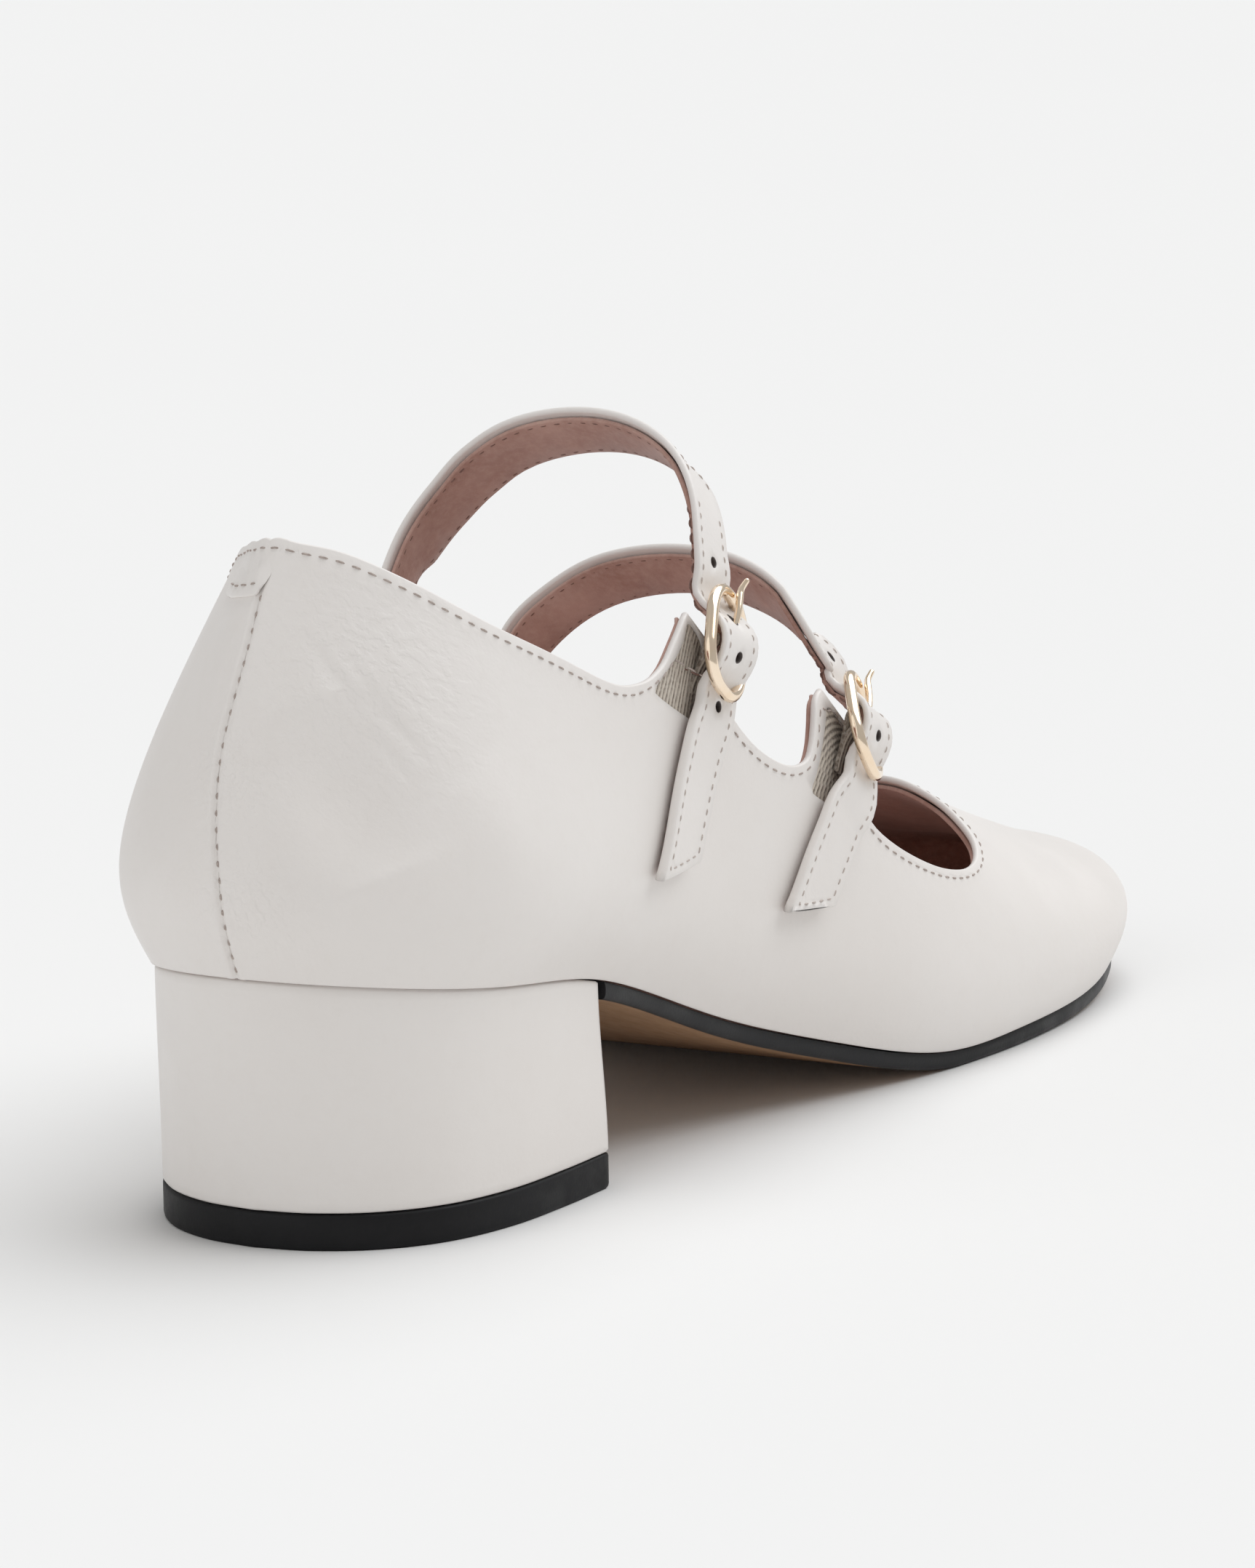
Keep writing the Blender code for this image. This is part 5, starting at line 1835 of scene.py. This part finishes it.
@dataclass
class Buckle:
    """Round-wire buckle with its middle bar, prong and elastic loop."""

    last: Last
    path: StrapPath
    finishes: Finishes
    wide: float = 13.8
    tall: float = 17.2
    corner: float = 5.2
    wire: float = 0.92
    bar: float = 0.55
    bar_low: float = 0.25
    stand: float = 2.7
    tilt: float = 9.0
    skew: float = 15.0
    yaw: float = 9.0
    prong_radius: float = 0.55
    prong_tip: float = 0.72
    hoop: float = 1.15
    # Middle line of the prong: up the strap, then outward.
    prong_line: Rows = ((0.9, 0.2), (2.4, 1.0), (4.8, 1.5), (7.4, 1.6), (8.6, 1.75), (9.9, 2.5))
    # Middle line of the elastic: distance past the bar, then outward.
    loop_line: Rows = (
        (8.0, -0.6), (6.5, -0.2), (5.2, 0.3), (3.8, 0.9), (2.6, 1.7), (1.6, 2.7), (0.8, 3.3),
        (0.0, 3.5), (-0.9, 3.2), (-1.3, 2.4), (-0.8, 1.7), (0.5, 1.2), (2.4, 0.7), (4.0, 0.2),
    )
    loop_half: float = 3.9
    loop_thick: float = 0.55
    loop_columns: int = 60
    rib_pitch: float = 0.95
    rib_rise: float = 0.14

    @cached_property
    def axes(self) -> tuple[Array, Array, Array, Array]:
        """Centre, and the directions across the strap, up the strap and outward."""
        place, up, along = (part[0] for part in StrapPath.frame(self.path.run(self.last), np.array([0.0])))
        across = StrapPath.toeward(up, along)
        tilt, skew, yaw = map(math.radians, (self.tilt, self.skew, self.yaw))
        rise = -along * math.cos(tilt) - up * math.sin(tilt)
        out = up * math.cos(tilt) - along * math.sin(tilt)
        skewed = across * math.cos(skew) - rise * math.sin(skew)
        rise = rise * math.cos(skew) + across * math.sin(skew)
        turned = skewed * math.cos(yaw) - out * math.sin(yaw)
        return place + up * self.stand, turned, rise, out * math.cos(yaw) + skewed * math.sin(yaw)

    def placed(self, flat: Array) -> Array:
        """Points given in the buckle's own axes, put in place."""
        centre, across, rise, out = self.axes
        return centre + flat[:, :1] * across + flat[:, 1:2] * rise + flat[:, 2:3] * out

    def build(self) -> list[Piece]:
        """Make and dress the ring, the prong and the elastic.

        Returns:
            The dressed pieces.
        """
        name = self.path.strap.value
        half = np.array([self.wide, self.tall]) / 2 - self.wire
        turn = np.radians(np.arange(0, 360, 90)[:, None] + np.linspace(0, 90, 9))
        corners = np.array([(1, 1), (-1, 1), (-1, -1), (1, -1)]) * (half - self.corner)
        line = corners[:, None] + self.corner * np.stack([np.cos(turn), np.sin(turn)], -1)
        line = np.c_[line.reshape(-1, 2), np.zeros(turn.size)]
        ring = tube(self.placed(smooth_line(line, 0.6, True)), self.wire, 16, True, self.axes[3])
        reach = np.linspace(-half[0], half[0], 24)
        low = np.full(len(reach), -self.bar_low)
        bar = tube(self.placed(np.stack([reach, 0 * reach, low], -1)), self.bar, 12, False, self.axes[3])
        turn = np.linspace(0.2 * math.pi, 1.85 * math.pi, 22)
        hoop = self.hoop * np.stack([0 * turn, np.sin(turn), np.cos(turn)], -1) - (0, 0, self.bar_low)
        flat = smooth_line(self.prong_line, 0.4)
        shaft = np.c_[np.zeros(len(flat)), flat]
        taper = np.interp(np.linspace(0, 1, len(flat)), (0, 0.7, 1), (1.0, 1.0, self.prong_tip))
        thick = self.prong_radius * np.ones(len(hoop))
        lines = ((hoop, thick), (shaft, taper * self.prong_radius))
        prong = [tube(self.placed(part), radius, 12, False, self.axes[1]) for part, radius in lines]
        frame_piece = Mesh.merged([ring, bar]).build(name + "_ring", [self.finishes.gold])
        prong_piece = Mesh.merged(prong).build(name + "_prong", [self.finishes.gold])
        return [
            settle(frame_piece, "buckle_metal", name + "_buckle_frame"),
            settle(prong_piece, "buckle_metal", name + "_buckle_prong"),
            self.elastic_loop(),
        ]

    def elastic_loop(self) -> Piece:
        """Elastic band from the ear's window round the middle bar."""
        profile = smooth_line(self.loop_line, 0.35)
        place, up, along = StrapPath.frame(self.path.run(self.last), profile[:, 0])
        across = StrapPath.toeward(up, along)
        middle = place + up * profile[:, 1:]
        columns = self.loop_columns
        reach = np.linspace(-self.loop_half, self.loop_half, columns)
        rib = np.tile(np.sin(reach * 2 * math.pi / self.rib_pitch) * 0.5 + 0.5, len(middle))
        points = (middle[:, None] + across[:, None] * reach[None, :, None]).reshape(-1, 3)
        face = unit(np.cross(across, unit(np.gradient(middle, axis=0))))
        face = np.repeat(face[:, None], columns, 1).reshape(-1, 3)
        quads = np.array(grid_faces(len(middle), columns))
        tris = quads[:, [0, 1, 2, 0, 2, 3]].reshape(-1, 3)
        ribbed = points + face * (rib * self.rib_rise)[:, None]
        # The rib mark also sets the painted shade of the valleys in the elastic's finish.
        sheet = Sheet(ribbed, face, facing(points, face, tris), {"rib": rib})
        solid = sheet.wall(0.0, self.loop_thick, [0.12], 3)
        name = self.path.strap.value
        loop = solid.build(name + "_elastic_loop", [self.finishes.elastic])
        return settle(loop, "elastic", name + "_elastic")


# --- sole and heel ---


@dataclass
class Sole:
    """Outsole with a black edge and tan underside, and the lined insole inside."""

    last: Last
    finishes: Finishes
    gap: float = 0.3
    thick: float = 2.6
    breast: float = 28.0
    insole_thick: float = 2.4
    rim_points: int = 1440
    columns: int = 8
    # Edges from the underside up: inset from the feather edge and share of the height.
    edge: Rows = (
        (1.1, 0.0), (0.75, 0.02), (0.42, 0.12), (0.24, 0.32), (0.2, 0.6), (0.26, 0.85), (0.42, 1.0),
    )
    insole_edge: Rows = ((2.4, 0.0), (2.25, 0.3), (2.3, 0.7), (2.7, 0.95), (3.4, 1.0))

    def outline(self, inset: float, start: float | None, count: int) -> Array:
        """Outline of a plate in plan, evenly spaced.

        Args:
            inset: How far it lies inside the feather edge.
            start: Where the plate is cut straight across, or nothing for a whole one.
            count: Points round it.

        Returns:
            The outline's points.
        """
        rim = self.last.rim(self.rim_points, inset)[1]
        if start is None:
            line = join([rim, rim[:1]])
        else:
            front = rim[rim[:, 0] > start]
            line = join([[(start, front[0, 1])], front, [(start, front[-1, 1])]])
        share = np.linspace(0, 1, count, endpoint=start is not None)
        return at_travel(line, share * travel_of(line)[-1])

    def cap(self, outline: Array) -> tuple[Array, list[Face]]:
        """Rows of points across a plate between matching points of its outline.

        Args:
            outline: Outline that runs out along one side and back along the other.

        Returns:
            New points, and faces over the outline's points and then the new ones.
        """
        count = len(outline)
        columns = self.columns
        points = []
        faces: list[Face] = []
        grid = []
        for k in range(count // 2):
            other = count - 1 - k
            row = [k]
            for c in range(1, columns):
                row.append(count + len(points))
                points.append(outline[k] + (outline[other] - outline[k]) * c / columns)
            grid.append([*row, other])
        for low, high in zip(grid, grid[1:]):
            faces.extend((low[c], low[c + 1], high[c + 1], high[c]) for c in range(columns))
        if count % 2:
            faces.extend((grid[-1][c], grid[-1][c + 1], count // 2) for c in range(columns))
        return np.array(points), faces

    def plate(self, profile: Rows, start: float | None, count: int, low: Rule, high: Rule) -> Mesh:
        """Closed plate with a rounded edge.

        Args:
            profile: Inset and height share of each row of the edge, from the underside up.
            start: Where it is cut straight across, or nothing for a whole one.
            count: Points round the outline.
            low: Rule for the underside's height at x.
            high: Rule for the top's height at x.

        Returns:
            The plate. Its faces' finish is 1 on the underside and 0 elsewhere.
        """
        points = []
        for inset, share in profile:
            flat = self.outline(inset, start, count)
            bottom = low(flat[:, 0])
            points.append(np.c_[flat, bottom + (high(flat[:, 0]) - bottom) * share])
        rows = len(points)
        faces = grid_faces(rows, count, wrap=True)
        finish = [0] * len(faces)
        first = count * rows
        for row, rule in ((0, low), (rows - 1, high)):
            extra, tris = self.cap(points[row][:, :2])
            points.append(np.c_[extra, rule(extra[:, 0])])
            turned = [tuple(row * count + v if v < count else first + v - count for v in f) for f in tris]
            faces += [tuple(reversed(f)) for f in turned] if row else turned
            finish += [0 if row else 1] * len(tris)
            first += len(extra)
        return consistent(Mesh(join(points), faces, {}, finish))

    def build(self) -> list[Piece]:
        """Make and dress the outsole and the insole.

        Returns:
            The dressed pieces.
        """
        height = self.last.sole_height

        def top(x: Array) -> Array:
            """Top of the outsole."""
            return height(x) - self.gap

        def bottom(x: Array) -> Array:
            """Underside of the outsole, flat where it stands on the floor."""
            return np.maximum(top(x) - self.thick, 0.0)

        def insole_top(x: Array) -> Array:
            """Top of the insole."""
            return height(x) + self.insole_thick

        outsole = self.plate(self.edge, self.breast, 301, bottom, top)
        insole = self.plate(self.insole_edge, None, 300, height, insole_top)
        painted = [self.finishes.edge_paint, self.finishes.tan]
        lined = [self.finishes.lining, self.finishes.lining]
        return [
            settle(outsole.build("outsole", painted, 40.0), "sole", "outsole"),
            settle(insole.build("insole_sock", lined, 50.0), "lining", "insole"),
        ]


def consistent(mesh: Mesh) -> Mesh:
    """The mesh with all its faces turned the same way, outward.

    Args:
        mesh: Closed mesh.

    Returns:
        A new mesh over the same points.
    """
    work = bmesh.new()
    made = [work.verts.new(p) for p in mesh.points]
    kinds = mesh.finish_of or [0] * len(mesh.faces)
    for face, kind in zip(mesh.faces, kinds):
        work.faces.new([made[v] for v in face]).material_index = kind
    bmesh.ops.recalc_face_normals(work, faces=work.faces)
    work.verts.index_update()
    faces = [tuple(v.index for v in f.verts) for f in work.faces]
    order = [f.material_index for f in work.faces]
    work.free()
    return Mesh(mesh.points, faces, mesh.marks, order)


@dataclass
class Heel:
    """Leather-covered block heel and its rubber top piece."""

    last: Last
    finishes: Finishes
    breast: float = 27.0
    inset: float = 0.5
    gap: float = 0.3
    top_piece: float = 5.2
    corner: float = 1.1
    crisp: float = 60.0
    # Half of the lower outline: x from the breast round to the back, and half width.
    foot: Rows = (
        (27.0, 27.6), (14.0, 27.8), (0.0, 27.0), (-12.0, 23.6), (-20.5, 17.2), (-25.4, 8.8), (-27.0, 0.0),
    )
    count: int = 200
    # Rows of the cover near its two ends: level and inset.
    cover_low: Rows = ((0, 0.9), (0.004, 0.25), (0.014, 0.0))
    cover_high: Rows = ((0.985, 0.0), (0.996, 0.3), (1.0, 0.9))
    cover_rows: int = 20
    # Rows of the top piece: inset and height.
    lift: Rows = (
        (0.9, 0.0), (0.35, 0.0), (0.1, 0.25), (0.0, 0.7), (0.0, 2.6), (0.0, 4.7), (0.15, 5.1), (0.5, 5.2),
    )

    def round_outline(self, line: Array) -> Array:
        """Outline with its two breast corners rounded.

        Args:
            line: Outline from one breast corner round the back to the other.

        Returns:
            Even points, closed across the breast.
        """
        radius = self.corner
        mid = 0.29 * radius
        a, b = line[0], line[-1]
        breast = unit(b - a)
        side_a = unit(line[3] - a)
        side_b = unit(line[-4] - b)
        corner_a = [a + breast * radius, a + (side_a + breast) * mid, a + side_a * radius]
        corner_b = [b + side_b * radius, b + (side_b - breast) * mid, b - breast * radius]
        nearer = np.minimum(np.linalg.norm(line - a, axis=1), np.linalg.norm(line - b, axis=1))
        around = join([corner_a, line[nearer > radius], corner_b, corner_a[:1]])
        travel = travel_of(around)
        return at_travel(around, np.linspace(0, travel[-1], self.count, endpoint=False), travel)

    @cached_property
    def foot_line(self) -> Array:
        """Lower outline from the outer breast corner round the back to the inner one."""
        half = smooth_line(self.foot, 1.0)
        return join([np.stack([half[:, 0], -half[:, 1]], -1), half[-2::-1]])

    @cached_property
    def seat_line(self) -> Array:
        """Upper outline under the feather edge over the same sweep."""
        station, outline = self.last.rim(640, self.inset)
        behind = outline[:, 0] < self.breast
        outer = outline[behind & (station <= self.last.toe)]
        inner = outline[behind & (station > self.last.toe)]
        line = join([outer[::-1], inner[::-1]])
        return join([[(self.breast, line[0, 1])], line, [(self.breast, line[-1, 1])]])

    def lofted(self, rows: list[tuple[Array, Array]]) -> Mesh:
        """Closed mesh through outlines and their heights, capped at both ends.

        Args:
            rows: Outline and heights of each row, from the floor up.

        Returns:
            The closed mesh.
        """
        count = self.count
        faces = grid_faces(len(rows), count, wrap=True)
        for base, order in ((0, 1), ((len(rows) - 1) * count, -1)):
            for k in range(count // 2 - 1):
                faces.append(tuple(base + v for v in (k, k + 1, count - 2 - k, count - 1 - k)[::order]))
        return consistent(Mesh(join([np.c_[flat, height] for flat, height in rows]), faces))

    def build(self) -> list[Piece]:
        """Make and dress the block and the top piece.

        Returns:
            The dressed pieces.
        """
        foot = self.round_outline(self.foot_line)
        seat = self.round_outline(self.seat_line)
        centre = foot.mean(0)
        base = self.top_piece + self.gap * 0.3
        crown = self.last.sole_height(seat[:, 0]) - self.gap * 0.6
        between = [(k / self.cover_rows, 0.0) for k in range(1, self.cover_rows)]
        rows = []
        for level, inset in (*self.cover_low, *between, *self.cover_high):
            flat = foot + (seat - foot) * level * level * (3 - 2 * level)
            rows.append((flat - unit(flat - centre) * inset, base + (crown - base) * level))
        block = self.lofted(rows).build("heel_cover", [self.finishes.plain_leather], self.crisp)
        inward = unit(centre - foot)
        rows = [(foot + inward * inset, np.full(len(foot), height)) for inset, height in self.lift]
        lift = self.lofted(rows).build("heel_lift", [self.finishes.rubber], self.crisp)
        return [settle(block, "heel_leather", "heel_block"), settle(lift, "heel_rubber", "heel_top_piece")]


# --- studio ---


@dataclass
class Studio:
    """Pale floor, soft lights and the camera."""

    camera_at: tuple[float, float, float] = (-1.109, -0.666, 0.304)
    aim: tuple[float, float, float] = (0.083, 0.0, 0.047)
    lens: float = 214.0
    sensor: float = 36.0
    near: float = 0.01
    roll: float = -1.0
    floor_half: float = 6.0
    surround: Tone = tone(1.0, 0.985, 0.965)
    surround_power: float = 0.46
    light_colour: tuple[float, float, float] = (0.95, 0.975, 1.0)

    def light(self, name: str, source: tuple[float, ...], spread: float, power: float) -> None:
        """Add a broad even light.

        Args:
            name: Its name.
            source: Direction that it comes from.
            spread: Angle in degrees that it fills, seen from the shoe.
            power: Its strength.
        """
        data = bpy.data.lights.new(name, "SUN")
        data.angle = math.radians(spread)
        data.energy = power
        data.color = self.light_colour
        lamp = bpy.data.objects.new(name, data)
        lamp.rotation_euler = (-Vector(source)).to_track_quat("-Z", "Y").to_euler()
        bpy.context.scene.collection.objects.link(lamp)

    def build(self) -> None:
        """Make the floor, the lights, the surroundings and the camera."""
        scene = bpy.context.scene
        mesh = bpy.data.meshes.new("floor")
        half = self.floor_half
        corners = [(-half, -half, 0), (half, -half, 0), (half, half, 0), (-half, half, 0)]
        mesh.from_pydata(corners, [], [(0, 1, 2, 3)])
        mesh.materials.append(StudioPaper().make())
        floor = bpy.data.objects.new("floor", mesh)
        scene.collection.objects.link(floor)
        world = bpy.data.worlds.new("studio")
        world.use_nodes = True
        around = world.node_tree.nodes["Background"].inputs
        around["Color"].default_value = self.surround
        around["Strength"].default_value = self.surround_power
        scene.world = world
        self.light("top_light", (0.46, -0.26, 0.88), 72.0, 2.12)
        self.light("back_light", (-0.80, 0.30, 0.40), 60.0, 0.40)
        scene.view_settings.view_transform = "Standard"
        data = bpy.data.cameras.new("camera")
        data.lens = self.lens
        data.sensor_width = self.sensor
        data.clip_start = self.near
        camera = bpy.data.objects.new("camera", data)
        camera.location = self.camera_at
        look = (Vector(self.aim) - Vector(self.camera_at)).to_track_quat("-Z", "Y").to_matrix()
        rolled = Matrix.Rotation(math.radians(self.roll), 3, "Z")
        camera.rotation_euler = (look @ rolled).to_euler()
        scene.collection.objects.link(camera)
        scene.camera = camera


# --- the whole shoe ---

REAR_PATH = StrapPath(
    Strap.REAR,
    (
        (3.95, 4.0), (3.90, 3.73), (3.85, 3.465), (3.815, 3.256), (3.793, 3.085), (3.758, 2.912),
        (3.709, 2.723), (3.645, 2.525), (3.51, 2.17), (3.355, 1.707), (3.175, 1.05),
    ),
    2.91,
)
FRONT_PATH = StrapPath(
    Strap.FRONT,
    (
        (4.96, 4.0), (4.985, 3.8), (5.016, 3.64), (5.015, 3.476), (4.96, 3.254), (4.89, 3.052),
        (4.797, 2.827), (4.672, 2.58), (4.47, 2.19), (4.285, 1.765), (4.11, 1.22),
    ),
    3.05,
)


def main() -> None:
    """Build every sub-assembly in order."""
    logging.basicConfig(level=logging.INFO, format="%(name)s: %(message)s")
    last = Last()
    finishes = Finishes.make()
    paths = {Strap.REAR: REAR_PATH, Strap.FRONT: FRONT_PATH}
    Upper(last, Pattern(), paths, finishes).build()
    for path in paths.values():
        Buckle(last, path, finishes).build()
    Sole(last, finishes).build()
    Heel(last, finishes).build()
    Studio().build()


if __name__ == "__main__":
    main()
